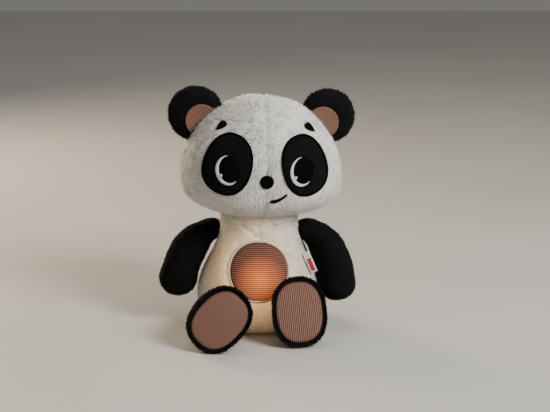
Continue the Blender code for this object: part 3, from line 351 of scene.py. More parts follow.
def turned(profile, segments, close=False):
    """A body of revolution about Z from a profile of (radius, height) points."""
    bm = bmesh.new()
    verts = [bm.verts.new((radius, 0, height)) for radius, height in profile]
    edges = [bm.edges.new(pair) for pair in zip(verts, verts[1:])]
    if close:
        edges.append(bm.edges.new((verts[-1], verts[0])))
    bmesh.ops.spin(
        bm, geom=verts + edges, cent=(0, 0, 0), axis=(0, 0, 1),
        dvec=(0, 0, 0), angle=math.tau, steps=segments, use_merge=True,
    )
    bmesh.ops.remove_doubles(bm, verts=bm.verts, dist=1e-7)
    bmesh.ops.recalc_face_normals(bm, faces=bm.faces)
    return bm


def place(bm, move):
    """Moves every vertex of bm to move(point)."""
    spots = [move(vert.co.copy()) for vert in bm.verts]
    for vert, spot in zip(bm.verts, spots):
        vert.co = spot


def in_fixed_order(bm):
    """Sorts edges and faces by their points, because extruding leaves them in another order on each run."""
    bm.verts.index_update()
    many = len(bm.verts)

    def rank(part):
        low, middle, high = (sorted(vert.index for vert in part.verts) + [0])[:3]
        return (low * many + middle) * many + high

    for parts in (bm.edges, bm.faces):
        parts.sort(key=rank)
        parts.index_update()


def set_down(name, mesh, finish):
    """Puts a mesh in the scene in its finish."""
    piece = bpy.data.objects.new(name, mesh)
    bpy.context.scene.collection.objects.link(piece)
    mesh.materials.append(FINISHES[finish])
    return piece


def finish_piece(name, bm, finish, body, stands_for=(), outward=True):
    """Makes the object, smooth, riding on its body."""
    if outward:
        bmesh.ops.recalc_face_normals(bm, faces=bm.faces)
    in_fixed_order(bm)
    mesh = bpy.data.meshes.new(name)
    bm.to_mesh(mesh)
    bm.free()
    mesh.shade_smooth()
    piece = set_down(name, mesh, finish)
    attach(piece, body)
    if stands_for:
        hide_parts(*stands_for)
    return piece


def lumps(point, scale, height, seed):
    """How far stuffed plush bulges here, in soft lumps about scale wide."""
    return noise.noise(point / scale + Vector((seed, 3.7 * seed, 1.3))) * height


def groove(distance, half_width, depth):
    """A soft furrow: depth in its middle, fading over half_width."""
    return depth * math.exp(-((distance / half_width) ** 2))


def press(bm, change):
    """Moves each vertex along its own normal by change(point)."""
    bm.normal_update()
    spots = [vert.co + vert.normal * change(vert.co) for vert in bm.verts]
    for vert, spot in zip(bm.verts, spots):
        vert.co = spot


# ---- the pile ----

LOCK, LOCK_PULL = 0.0032, 0.7
HEAD_TUFT = Tuft(0.0046, 0.00044, 0.00108, 0.78)
BODY_TUFT = Tuft(0.0034, 0.0004, 0.00112, 1.0)
NECK_TUFT = Tuft(0.0030, 0.0004, 0.00112, 1.05)
FLAP_TUFT = Tuft(0.0032, 0.0004, 0.00112, 1.05)
EAR_TUFT = Tuft(0.0030, 0.0004, 0.00105, 0.9)
EYE_PATCH_TUFT = Tuft(0.0017, 0.00034, 0.0009, 0.9)
ARM_TUFT = Tuft(0.0030, 0.0004, 0.00105, 1.0)
LEG_TUFT = Tuft(0.0028, 0.0004, 0.00105, 0.9)


def tuft_shape():
    """One tuft of fibres lying along +X: three sides and a base where it stands in the ground."""
    bm = bmesh.new()
    bmesh.ops.create_cone(bm, cap_ends=True, segments=3, radius1=1, radius2=0, depth=1)
    bmesh.ops.remove_doubles(bm, verts=bm.verts, dist=1e-6)
    bmesh.ops.translate(bm, verts=bm.verts, vec=(0, 0, 0.5))
    bmesh.ops.triangulate(bm, faces=bm.faces)
    bm.verts.index_update()
    points = np.array([vert.co[:] for vert in bm.verts])
    faces = np.array([[vert.index for vert in face.verts] for face in bm.faces])
    bm.free()
    return points, faces


def scatter(mesh, spacing, seed, wanted):
    """Random spots on a mesh, about one for each spacing squared, with the surface's normals."""
    mesh.calc_loop_triangles()
    points = np.empty(len(mesh.vertices) * 3)
    mesh.vertices.foreach_get("co", points)
    points = points.reshape(-1, 3)
    normals = np.empty(len(mesh.vertices) * 3)
    mesh.vertex_normals.foreach_get("vector", normals)
    normals = normals.reshape(-1, 3)
    corners = np.empty(len(mesh.loop_triangles) * 3, np.int32)
    mesh.loop_triangles.foreach_get("vertices", corners)
    corners = corners.reshape(-1, 3)
    a, b, c = (points[corners[:, k]] for k in range(3))
    areas = np.linalg.norm(np.cross(b - a, c - a), axis=1) / 2
    rng = np.random.default_rng(seed)
    count = int(areas.sum() / spacing**2)
    chosen = rng.choice(len(areas), count, p=areas / areas.sum())
    u, v = rng.random(count), rng.random(count)
    over = u + v > 1
    u[over], v[over] = 1 - u[over], 1 - v[over]
    weights = np.stack([1 - u - v, u, v], 1)
    spots = (points[corners[chosen]] * weights[:, :, None]).sum(1)
    out = (normals[corners[chosen]] * weights[:, :, None]).sum(1)
    out /= np.linalg.norm(out, axis=1, keepdims=True)
    keep = np.array([wanted(Vector(spot), Vector(n)) for spot, n in zip(spots, out)], bool)
    return spots[keep], out[keep], rng


def grow_pile(name, ground, finish, body, tuft, nap, seed, wanted):
    """Covers the ground piece with tufts that lean along the nap and gather into small locks."""
    spots, out, rng = scatter(ground.data, tuft.spacing, seed, wanted)
    count = len(spots)
    swirl = np.array([noise.noise_vector(Vector(spot) * 130 + Vector((seed, 0, 0)))[:] for spot in spots])
    broad = np.array([noise.noise_vector(Vector(spot) * 35 + Vector((0, seed, 0)))[:] for spot in spots])
    lay = np.array([nap(Vector(spot))[:] for spot in spots]) + 0.8 * swirl + 0.6 * broad
    lay += rng.normal(0, 0.25, lay.shape)
    # Neighbouring tufts gather into locks.
    cell = np.floor(spots / LOCK)
    mixed = np.sin(cell @ np.array([12.9898, 78.233, 37.719])) * 43758.5453
    chance = np.stack([mixed % 1, (mixed * 7) % 1, (mixed * 13) % 1], 1)
    lay += LOCK_PULL * ((cell + 0.2 + 0.6 * chance) * LOCK - spots) / LOCK
    lay -= out * (lay * out).sum(1, keepdims=True)
    lay /= np.linalg.norm(lay, axis=1, keepdims=True) + 1e-9
    slope = np.clip(tuft.lean + rng.normal(0, 0.15, (count, 1)) + 0.45 * (chance[:, :1] - 0.5), 0.35, 1.2)
    along = out * np.cos(slope) + lay * np.sin(slope)
    aside = np.cross(out, along)
    aside /= np.linalg.norm(aside, axis=1, keepdims=True) + 1e-9
    above = np.cross(along, aside)
    size = tuft.length * (0.75 + 0.5 * rng.random((count, 1)))
    wide = tuft.width * (0.7 + 0.6 * rng.random((count, 1)))
    tips = spots + along * size
    # A tuft whose tip would lie where no pile is wanted is cut short.
    astray = np.array([not wanted(Vector(tip), Vector(n)) for tip, n in zip(tips, out)], bool)
    size[astray] *= 0.3
    shape, faces = tuft_shape()
    each = len(shape)
    local = shape[None, :, :]
    verts = (
        (spots - out * 0.0004)[:, None, :]
        + aside[:, None, :] * (local[:, :, :1] * wide[:, None, :])
        + above[:, None, :] * (local[:, :, 1:2] * wide[:, None, :] * 0.6)
        + along[:, None, :] * (local[:, :, 2:3] * size[:, None, :])
    )
    # The tips bend down to the ground.
    verts -= out[:, None, :] * (local[:, :, 2:3] ** 2 * size[:, None, :] * 0.12)
    every = (faces[None] + each * np.arange(count)[:, None, None]).reshape(-1, 3)
    mesh = bpy.data.meshes.new(name)
    mesh.vertices.add(count * each)
    mesh.vertices.foreach_set("co", verts.reshape(-1))
    mesh.loops.add(len(every) * 3)
    mesh.loops.foreach_set("vertex_index", every.reshape(-1).astype(np.int32))
    mesh.polygons.add(len(every))
    mesh.polygons.foreach_set("loop_start", np.arange(0, len(every) * 3, 3, dtype=np.int32))
    mesh.update(calc_edges=True)
    # Each tuft's value: painted shade, darker towards its root, and a tone of its own at random.
    shade = 0.30 + 0.35 * rng.random((count, 1)) + 0.25 * chance[:, 1:2] + 0.25 * broad[:, 1:2]
    tall = shape[:, 2][None, :]
    value = np.clip(0.75 * tall * (0.55 + shade) + 0.35 * (shade - 0.35), 0, 1)
    along_tuft = mesh.attributes.new("along", "FLOAT", "POINT")
    along_tuft.data.foreach_set("value", value.reshape(-1).astype(np.float32))
    pile_map(mesh, every, count, each, shape)
    mesh.shade_smooth()
    # The light falls on the pile as on a soft surface, so its normals lean towards the ground's.
    side = verts - (spots[:, None, :] + along[:, None, :] * (local[:, :, 2:3] * size[:, None, :]))
    side /= np.linalg.norm(side, axis=2, keepdims=True) + 1e-9
    soft = out[:, None, :] * 0.75 + side * 0.30 + swirl[:, None, :] * 0.22
    soft /= np.linalg.norm(soft, axis=2, keepdims=True)
    mesh.normals_split_custom_set_from_vertices(soft.reshape(-1, 3).tolist())
    piece = set_down(name, mesh, finish)
    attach(piece, body)


def pile_map(mesh, every, count, each, shape):
    """A texture map in which each tuft has a small cell of its own, root to tip."""
    across = int(math.ceil(math.sqrt(count)))
    tuft = (every // each).reshape(-1)
    corner = (every % each).reshape(-1)
    cell_x, cell_y = tuft % across, tuft // across
    turn, up = np.arctan2(shape[:, 1], shape[:, 0])[corner], shape[corner, 2]
    at_root = up < 0.5
    u = (cell_x + 0.5 + 0.3 * np.cos(turn) * at_root) / across
    v = (cell_y + 0.15 + 0.7 * up + 0.1 * np.sin(turn) * at_root) / across
    layer = mesh.uv_layers.new(name="OFBake")
    layer.data.foreach_set("uv", np.stack([u, v], 1).reshape(-1).astype(np.float32))


# ---- head ----


def head_section(latitude):
    """The head's level outline at this latitude: round above its widest, boxier below."""
    below = latitude < 0
    power = HEAD_BOXINESS if below else 2.0
    radius = math.cos(latitude) ** (2 / power)
    height = math.copysign(abs(math.sin(latitude)) ** (2 / power), latitude)
    height *= HEAD_BELOW if below else HEAD_ABOVE
    return Section(
        Vector((0, 0, HEAD_WIDEST + height)),
        Vector((HEAD_HALF_WIDTH * radius, 0, 0)),
        Vector((0, HEAD_HALF_DEPTH * radius, 0)),
        FACE_BOXINESS,
    )


def face_depth(x, z):
    """The head's front surface at this place, in the head's own frame."""
    above = z > HEAD_WIDEST
    share = min(0.98, abs(z - HEAD_WIDEST) / (HEAD_ABOVE if above else HEAD_BELOW))
    power = 2.0 if above else HEAD_BOXINESS
    radius = (1 - share**power) ** (1 / power)
    across = min(0.98, abs(x) / (HEAD_HALF_WIDTH * radius))
    return -HEAD_HALF_DEPTH * radius * (1 - across**FACE_BOXINESS) ** (1 / FACE_BOXINESS)


def face_spot(x, z, height=0.0):
    """A place on the face, lifted by height along the surface's normal, in the row frame."""
    step = 0.0008
    middle = Vector((x, face_depth(x, z), z))
    along_x = Vector((2 * step, face_depth(x + step, z) - face_depth(x - step, z), 0))
    along_z = Vector((0, face_depth(x, z + step) - face_depth(x, z - step), 2 * step))
    return HEAD_PLACE @ (middle + along_x.cross(along_z).normalized() * height)


EYE_SIDE, EYE_HEIGHT, EYE_HALF_WIDTH, EYE_HALF_HEIGHT = 0.0365, 0.0630, 0.0215, 0.0285
EYE_LEAN, EYE_EGG = math.radians(19), 0.08
PUPIL_SIDE, PUPIL_HEIGHT, PUPIL_HALF_WIDTH, PUPIL_HALF_HEIGHT = 0.0348, 0.0590, 0.0098, 0.0122
SHINE_WIDTH, SHINE_START, SHINE_SWEEP = 0.0033, math.radians(100), math.radians(208)
GLINT_SIDE, GLINT_DROP, GLINT_HALF_WIDTH, GLINT_HALF_HEIGHT = 0.0078, 0.0062, 0.0014, 0.0017
NOSE_HEIGHT, NOSE_HALF_WIDTH, NOSE_HALF_HEIGHT, NOSE_CROWN = 0.0486, 0.0068, 0.0066, 0.0030
SMILE_START, SMILE_LENGTH, SMILE_LOW, SMILE_RISE, SMILE_WIDTH = 0.0040, 0.0155, 0.0294, 0.0072, 0.0042
BROW_SIDE, BROW_HEIGHT, BROW_LEAN = 0.0425, 0.0955, math.radians(34)
BROW_HALF_LENGTH, BROW_HALF_WIDTH = 0.0066, 0.0047
HEAD_SEAM = 0.0004
FAR_FROM_EYE = 9.0


def oval_reach(angle, half_width, half_height, lean=0.0, egg=0.0):
    """(x, z) of an oval's rim at this angle."""
    across, up = math.cos(angle), math.sin(angle)
    power = 2 / (2 + 3 * egg)
    x = half_width * math.copysign(abs(across) ** power, across) * (1 - egg * up)
    z = half_height * math.copysign(abs(up) ** power, up)
    return x * math.cos(lean) + z * math.sin(lean), z * math.cos(lean) - x * math.sin(lean)


def eye_patch_share(side, point):
    """How far out a place on the head lies from the middle of its eye patch: 1 at the patch's rim."""
    local = INTO_HEAD @ point
    x, z = local.x - side * EYE_SIDE, local.z - EYE_HEIGHT
    lean = -side * EYE_LEAN
    across = x * math.cos(lean) - z * math.sin(lean)
    up = x * math.sin(lean) + z * math.cos(lean)
    if local.y > 0:
        return FAR_FROM_EYE
    up /= EYE_HALF_HEIGHT
    across /= EYE_HALF_WIDTH * (1 - EYE_EGG * max(-1.0, min(1.0, up)))
    power = 2 + 3 * EYE_EGG
    return (abs(across) ** power + abs(up) ** power) ** (1 / power)


def on_brow(local):
    """Whether a place on the head, in its own frame, is under a brow."""
    x, z = abs(local.x) - BROW_SIDE, local.z - BROW_HEIGHT
    along = x * math.cos(BROW_LEAN) - z * math.sin(BROW_LEAN)
    around = x * math.sin(BROW_LEAN) + z * math.cos(BROW_LEAN)
    return math.hypot(along / BROW_HALF_LENGTH, (around - 0.001) / (BROW_HALF_WIDTH - 0.0001)) < 1


def smile(share):
    """(x, z) along the mouth, which curls up at its end."""
    return SMILE_START + SMILE_LENGTH * share, SMILE_LOW + SMILE_RISE * share**2.1


def on_smile(local):
    """Whether a place on the head, in its own frame, is under the mouth."""
    share = (local.x - SMILE_START) / SMILE_LENGTH
    return -0.03 < share < 1.02 and abs(local.z - smile(max(0.0, share))[1]) < 0.0012


def head():
    """The head's plush skin, drawn in at its seams, the nose and the mouth, and its pile."""
    latitudes = [math.radians(-88 + 176 * index / 71) for index in range(72)]
    bm = loft([head_section(latitude) for latitude in latitudes], 128)

    def sewn(point):
        rise = lumps(point, 0.030, 0.0011, 1) + lumps(point, 0.011, 0.0004, 2)
        rise -= groove(point.x - HEAD_SEAM, 0.0014, 0.0019)
        dart = abs(abs(point.x) - 0.030 - 0.25 * max(0, point.z - 0.06))
        if point.z < 0.018:
            rise -= groove(dart, 0.0012, 0.0008)
        if point.y < 0:
            rise -= groove(math.hypot(point.x, point.z - NOSE_HEIGHT), 0.010, 0.0010)
            rise -= groove(math.hypot(point.x - 0.012, point.z - 0.031), 0.010, 0.0007)
        return rise - 0.0006

    press(bm, sewn)
    bm.transform(HEAD_PLACE)
    piece = finish_piece("head_plush", bm, "head_skin", "head", ("head_cover",))

    def nap(point):
        local = INTO_HEAD @ point
        flow = Vector((0.9 * local.x / 0.06, 0.25, -0.55 - 6 * max(0.0, local.z - 0.06)))
        if local.y < 0:
            flow += Vector((0, 0, 0.4 if local.z > 0.07 else 0.0))
        return flow.normalized()

    def furry(point, out):
        local = INTO_HEAD @ point
        if abs(local.x - HEAD_SEAM) < 0.0003:
            return False
        if local.y < 0:
            on_nose = math.hypot(local.x, local.z - NOSE_HEIGHT) < NOSE_HALF_HEIGHT
            if on_nose or on_smile(local) or on_brow(local):
                return False
        rim = 1.06 if local.z > EYE_HEIGHT else 1.04
        return min(eye_patch_share(1, point), eye_patch_share(-1, point)) > rim

    grow_pile("head_pile", piece, "head_pile", "head", HEAD_TUFT, nap, 11, furry)


def ear_sections(side):
    """A flat round cushion standing on edge."""
    centre = Vector((side * EAR_SIDE, EAR_BACK, EAR_HEIGHT))
    sections = []
    for index in range(21):
        latitude = math.radians(-86 + 172 * index / 20)
        radius = EAR_RADIUS * max(0.04, math.cos(latitude)) ** 0.6
        shift = Vector((0, EAR_HALF_THICKNESS * math.sin(latitude), 0))
        sections.append(Section(centre + shift, Vector((radius, 0, 0)), Vector((0, 0, radius)), 2.0))
    return sections


def ears():
    """Two flat round ears with a corduroy pad in a shallow dish."""
    for name, side in SIDES:
        centre = Vector((side * EAR_SIDE, EAR_BACK, EAR_HEIGHT))
        pad_middle = centre + Vector((-side * EAR_PAD_SHIFT, 0, -EAR_PAD_SHIFT))
        bm = loft(ear_sections(side), 72)

        def dished(point):
            out = Vector((point.x - pad_middle.x, 0, point.z - pad_middle.z)).length
            dent = -0.0020 * max(0.0, 1 - (out / 0.0185) ** 2) if point.y < centre.y else 0.0
            return dent + lumps(point, 0.012, 0.0005, 4)

        press(bm, dished)
        bm.transform(HEAD_PLACE)
        ear = finish_piece(
            f"{name}_ear_plush", bm, "black_skin", "head", (f"{name}_ear",)
        )

        def outward(point):
            local = INTO_HEAD @ point
            return (local - pad_middle).normalized()

        def not_on_pad(point, out):
            local = INTO_HEAD @ point
            away = Vector((local.x - pad_middle.x, 0, local.z - pad_middle.z)).length
            return local.y > centre.y or away > EAR_PAD_RADIUS * 0.97

        grow_pile(
            f"{name}_ear_pile", ear, "black_pile", "head", EAR_TUFT,
            outward, 21 + side, not_on_pad,
        )
        ribs_turn = math.radians(-24 * side)
        ribbed = corduroy_disc(EAR_PAD_RADIUS, EAR_PAD_RADIUS, thickness=0.0016, turn=ribs_turn)

        def onto_ear(point):
            share = math.hypot(point.x, point.y) / EAR_PAD_RADIUS
            depth = -EAR_HALF_THICKNESS + 0.0016 * (1 - share**2) - point.z
            return HEAD_PLACE @ (pad_middle + Vector((point.x, depth, point.y)))

        place(ribbed, onto_ear)
        finish_piece(
            f"{name}_ear_corduroy", ribbed, "corduroy", "head", (f"{name}_inner_ear",)
        )


def corduroy_disc(half_across, half_along, thickness, turn=0.0, dome=0.0, boxiness=2.0):
    """An oval of corduroy in the XY plane with its ribs along Y, turned about Z; it carries rib height."""
    ribs = int(round(2 * half_across / WALE))
    bm = bmesh.new()
    columns, rows = ribs * 6, 30
    bmesh.ops.create_grid(bm, x_segments=columns, y_segments=rows, size=1.0)
    crest = bm.verts.layers.float.new("along")
    spin = Matrix.Rotation(turn, 4, "Z")
    bm.verts.ensure_lookup_table()
    for vert in bm.verts:
        share = vert.co.x
        reach = max(0.0002, 1 - abs(share) ** boxiness) ** (1 / boxiness)
        x, y = half_across * share, half_along * vert.co.y * reach
        rim = (abs(share) ** boxiness + abs(vert.co.y * reach) ** boxiness) ** (1 / boxiness)
        wave = abs(math.sin(math.pi * ribs * (share + 1) / 2)) ** 0.7
        fade = max(0.0, min(1.0, (1 - rim) / 0.07))
        z = thickness + RIB_HEIGHT * wave * fade + dome * (1 - rim**2) - 0.5 * thickness * (1 - fade) ** 2
        # The rib height carried here becomes painted shade: darker in the grooves and where the ribs flatten
        # towards the rim.
        vert[crest] = wave**1.4 * (0.55 + 0.45 * fade)
        vert.co = spin @ Vector((x, y, z))
    rim_edges = [edge for edge in bm.edges if edge.is_boundary]
    made = bmesh.ops.extrude_edge_only(bm, edges=rim_edges)["geom"]
    low = [part for part in made if isinstance(part, bmesh.types.BMVert)]
    for vert in low:
        vert.co.z = 0
    back = [e for e in made if isinstance(e, bmesh.types.BMEdge) and e.is_boundary]
    bmesh.ops.edgeloop_fill(bm, edges=back)
    return bm


def stitched_pad(reach, height, segments, rings):
    """A low crowned pad in outline units: x and y on the plane, z its height."""
    profile = [(0.0, height)]
    for index in range(1, rings + 1):
        share = index / rings
        profile.append((share, height * (1 - 0.35 * share**2) * math.sqrt(max(0.0, 1 - share**6))))
    profile += [(share, -0.0002) for share in (0.97, 0.8, 0.6, 0.4, 0.2, 0.0)]
    bm = turned(profile, segments)

    def stretched(point):
        out, angle = math.hypot(point.x, point.y), math.atan2(point.y, point.x)
        x, z = reach(angle)
        return Vector((x * out, z * out, point.z))

    place(bm, stretched)
    return bm


def onto_face(bm, centre, lift):
    """Lays a flat piece on the face."""
    place(bm, lambda point: face_spot(centre[0] + point.x, centre[1] + point.y, lift + point.z))


def pad_on_face(bm, centre, lift):
    """Lays a flat pad on the face, with enough points to bend."""
    wide_apart = [edge for edge in bm.edges if edge.calc_length() > 0.004]
    bmesh.ops.subdivide_edges(bm, edges=wide_apart, cuts=1, use_grid_fill=True)
    onto_face(bm, centre, lift)


def sew_on_face(name, bm, thread, stands_for=()):
    """Finishes a stitched piece of the face in black or white thread."""
    finish_piece(name, bm, f"{thread}_thread", "head", stands_for)


def thread_ring(reach, width, height, segments=140):
    """A raised line of satin stitch along an outline."""
    profile = [(math.cos(a), math.sin(a)) for a in [math.tau * k / 8 for k in range(8)]]
    bm = turned([(10 + x, y) for x, y in profile], segments, close=True)

    def shaped(point):
        out, angle = math.hypot(point.x, point.y) - 10, math.atan2(point.y, point.x)
        x, z = reach(angle)
        length = math.hypot(x, z)
        stitch = 1 + 0.10 * math.sin(angle * 70)
        grow = (length + out * width / 2 * stitch) / length
        return Vector((x * grow, z * grow, point.z * height * stitch))

    place(bm, shaped)
    return bm


def eyes():
    """On each side a plush patch with a stitched edge, a pupil, its shine and a glint."""
    for name, side in SIDES:
        lean = -side * EYE_LEAN
        centre = (side * EYE_SIDE, EYE_HEIGHT)

        def patch(angle):
            return oval_reach(angle, EYE_HALF_WIDTH, EYE_HALF_HEIGHT, lean, EYE_EGG)

        bm = stitched_pad(patch, height=0.0012, segments=96, rings=12)
        pad_on_face(bm, centre, lift=0.0)
        press(bm, lambda point: lumps(point, 0.010, 0.0003, 6))
        piece = finish_piece(
            f"{name}_eye_patch_plush", bm, "patch", "head", (f"{name}_eye_patch",)
        )
        middle = Vector((side * PUPIL_SIDE, PUPIL_HEIGHT))

        def clear_of_eye(point, out):
            local = INTO_HEAD @ point
            away = math.hypot((local.x - middle.x + 0.001) / 0.0130, (local.z - middle.y + 0.001) / 0.0155)
            return away > 1 and eye_patch_share(side, point) < 0.97

        grow_pile(
            f"{name}_eye_patch_pile", piece, "black_pile", "head", EYE_PATCH_TUFT,
            lambda point: Vector((0.3 * side, 0, -1)), 31 + side, clear_of_eye,
        )
        ring = thread_ring(patch, width=0.0019, height=0.0009)
        onto_face(ring, centre, lift=0.0006)
        sew_on_face(f"{name}_eye_patch_edge", ring, "black")

        def pupil(angle):
            return oval_reach(angle, PUPIL_HALF_WIDTH, PUPIL_HALF_HEIGHT)

        bm = stitched_pad(pupil, height=0.0011, segments=64, rings=8)
        pad_on_face(bm, middle, lift=0.0017)
        sew_on_face(f"{name}_pupil_stitching", bm, "black", (f"{name}_pupil",))
        bm = crescent()
        onto_face(bm, middle, lift=0.0016)
        sew_on_face(f"{name}_eye_shine_stitching", bm, "white", (f"{name}_eye_shine",))

        def glint(angle):
            return oval_reach(angle, GLINT_HALF_WIDTH, GLINT_HALF_HEIGHT, lean=0.5)

        dot = stitched_pad(glint, height=0.0008, segments=24, rings=5)
        onto_face(dot, (middle.x - GLINT_SIDE, middle.y - GLINT_DROP), lift=0.0022)
        sew_on_face(f"{name}_eye_glint", dot, "white")


def drawn_thread(steps, lay):
    """A closed eight-sided thread drawn out in steps, its points at lay(share, turn)."""
    bm = bmesh.new()
    slot = bm.verts.layers.int.new("slot")
    section = bmesh.ops.create_circle(bm, cap_ends=True, segments=8, radius=1)["verts"]
    for index, vert in enumerate(section):
        vert[slot] = index
    face = bm.faces[:][0]
    for step in range(steps + 1):
        if step:
            made = bmesh.ops.extrude_face_region(bm, geom=[face])["geom"]
            if step > 1:
                bmesh.ops.delete(bm, geom=[face], context="FACES_ONLY")
            section = [part for part in made if isinstance(part, bmesh.types.BMVert)]
            face = next(part for part in made if isinstance(part, bmesh.types.BMFace))
        for vert in section:
            vert.co = lay(step / steps, math.tau * vert[slot] / 8)
    return bm


def crescent():
    """A stitched crescent on the pupil's right and under it, pointed at both ends."""

    def lay(share, turn):
        angle = SHINE_START + SHINE_SWEEP * share
        width = 0.00008 + SHINE_WIDTH * math.sin(math.pi * share**1.15) ** 0.8
        inner = Vector((
            (PUPIL_HALF_WIDTH + 0.0002) * math.cos(angle), (PUPIL_HALF_HEIGHT + 0.0002) * math.sin(angle)
        ))
        spot = inner + inner.normalized() * width / 2 * (1 + math.cos(turn))
        return Vector((spot.x, spot.y, 0.0006 * math.sin(turn) * min(1, width / 0.001)))

    return drawn_thread(40, lay)


def nose_and_mouth():
    """The round stitched nose, and the line of the mouth to its side."""

    def nose(angle):
        return oval_reach(angle, NOSE_HALF_WIDTH, NOSE_HALF_HEIGHT)

    bm = stitched_pad(nose, NOSE_CROWN, segments=48, rings=12)
    pad_on_face(bm, (0, NOSE_HEIGHT), lift=-0.0002)
    sew_on_face("nose_stitching", bm, "black", ("nose",))
    bm = stitched_line(
        smile, lambda share: SMILE_WIDTH / 2 * (1 - 0.45 * share) * min(1, 0.5 + share * 5)
    )
    sew_on_face("mouth_stitching", bm, "black", ("mouth",))


def brows():
    """A stitched drop over each eye, with its point to the middle of the face."""
    for name, side in SIDES:

        def drop(angle):
            along = BROW_HALF_LENGTH * math.cos(angle)
            around = BROW_HALF_WIDTH * math.sin(angle) * math.sin((angle % math.tau) / 2) ** 1.3
            around *= 1.0 if math.sin(angle) > 0 else 0.55
            return (
                side * (along * math.cos(BROW_LEAN) + around * math.sin(BROW_LEAN)),
                around * math.cos(BROW_LEAN) - along * math.sin(BROW_LEAN),
            )

        bm = stitched_pad(drop, height=0.0010, segments=40, rings=6)
        pad_on_face(bm, (side * BROW_SIDE, BROW_HEIGHT), lift=0.0012)
        sew_on_face(f"{name}_brow_stitching", bm, "black", (f"{name}_brow",))


def stitched_line(where, half):
    """A raised stitched line on the face along where(share), reaching half(share) to each side."""

    def lay(share, turn):
        middle, ahead = Vector(where(share)), Vector(where(share + 0.01))
        side_way = Vector((-(ahead - middle).y, (ahead - middle).x)).normalized()
        spot = middle + side_way * half(share) * math.cos(turn)
        return face_spot(spot.x, spot.y, 0.0006 + 0.0008 * math.sin(turn))

    return drawn_thread(36, lay)


# ---- body ----

DIMPLE_SIDE, DIMPLE_Z = 0.001, 0.0965
LAP_FOLDS = ((-0.017, 0.25), (0.013, -0.2), (0.028, -0.3), (-0.032, 0.3))
LAP_FOLD_TOP = 0.036
NECK_PILE_LOW, NECK_PILE_HIGH = 0.1093, 0.133


def body_section(z):
    """The body's level outline at this height: a rounded seat, a full belly and a narrow neck."""
    if z < BODY_WIDEST_Z:
        rounding = (1 - (1 - max(z, 0.0) / BODY_WIDEST_Z) ** 2.2) ** (1 / 2.2)
        share = SEAT_SHARE + (1 - SEAT_SHARE) * rounding
        width, front, back = BODY_HALF_WIDTH * share, BODY_FRONT * share, BODY_BACK * share
        belly = 1.0
    else:
        turn = math.pi / 2 * (z - BODY_WIDEST_Z) / (BODY_TOP_Z - BODY_WIDEST_Z)
        belly = max(math.cos(turn), 0.0)
        width = NECK_RADIUS + (BODY_HALF_WIDTH - NECK_RADIUS) * belly**2.3
        front = NECK_RADIUS + (BODY_FRONT - NECK_RADIUS) * belly**1.2
        back = NECK_RADIUS + (BODY_BACK - NECK_RADIUS) * belly**1.6
    middle, deep = Vector((0, (back - front) / 2, z)), Vector((0, (front + back) / 2, 0))
    return Section(middle, Vector((width, 0, 0)), deep, 2.0 + 0.5 * belly)


def body_depth(x, z, back=False):
    """The body's front or back surface at this place."""
    section = body_section(z)
    across = min(0.98, abs(x) / section.wide.x)
    depth = section.deep.y * (1 - across**section.power) ** (1 / section.power)
    return section.centre.y + (depth if back else -depth)


def body_spot(x, z, height=0.0, back=False):
    """A place on the body, lifted by height along the surface's normal."""
    step = 0.0008
    middle = Vector((x, body_depth(x, z, back), z))
    along_x = Vector((2 * step, body_depth(x + step, z, back) - body_depth(x - step, z, back), 0))
    along_z = Vector((0, body_depth(x, z + step, back) - body_depth(x, z - step, back), 2 * step))
    out = along_x.cross(along_z).normalized()
    return middle + out * (-height if back else height)


def round_hole(bm, centre_z, radius, front, flat_top=1.0):
    """Opens a round hole in the body, straight across at flat_top above its middle, with a clean rim."""

    def away(point):
        up = point.z - centre_z
        return max(math.hypot(point.x, up), up * radius / flat_top)

    def facing(point):
        return (point.y < 0) == front

    middles = [(face, face.calc_center_median()) for face in bm.faces]
    inside = [face for face, middle in middles if facing(middle) and away(middle) < radius]
    bmesh.ops.delete(bm, geom=inside, context="FACES")
    edge_verts = {vert for edge in bm.edges if edge.is_boundary for vert in edge.verts}
    for vert in [v for v in edge_verts if facing(v.co) and away(v.co) < 1.3 * radius]:
        share = radius / away(vert.co)
        x, z = vert.co.x * share, centre_z + (vert.co.z - centre_z) * share
        vert.co = body_spot(x, z, 0.0, not front)


def seam_line(z):
    """How far to the side the seam down the front wanders."""
    return 0.0022 * math.sin(z * 90)


def chest_pull(point):
    """How deep the plush is drawn in above the window: a dimple, and a fold up to each shoulder."""
    aside, rise = point.x - DIMPLE_SIDE, point.z - DIMPLE_Z
    depth = groove(math.hypot(aside, 0.8 * rise), 0.0050, 0.0030)
    if rise > 0:
        fade = min(1.0, rise / 0.003)
        for way in (-1, 1):
            depth += fade * groove(aside - way * (0.002 + 1.15 * rise), 0.0030, 0.0022)
        depth -= fade * groove(aside, 0.0030, 0.0006)
    return depth


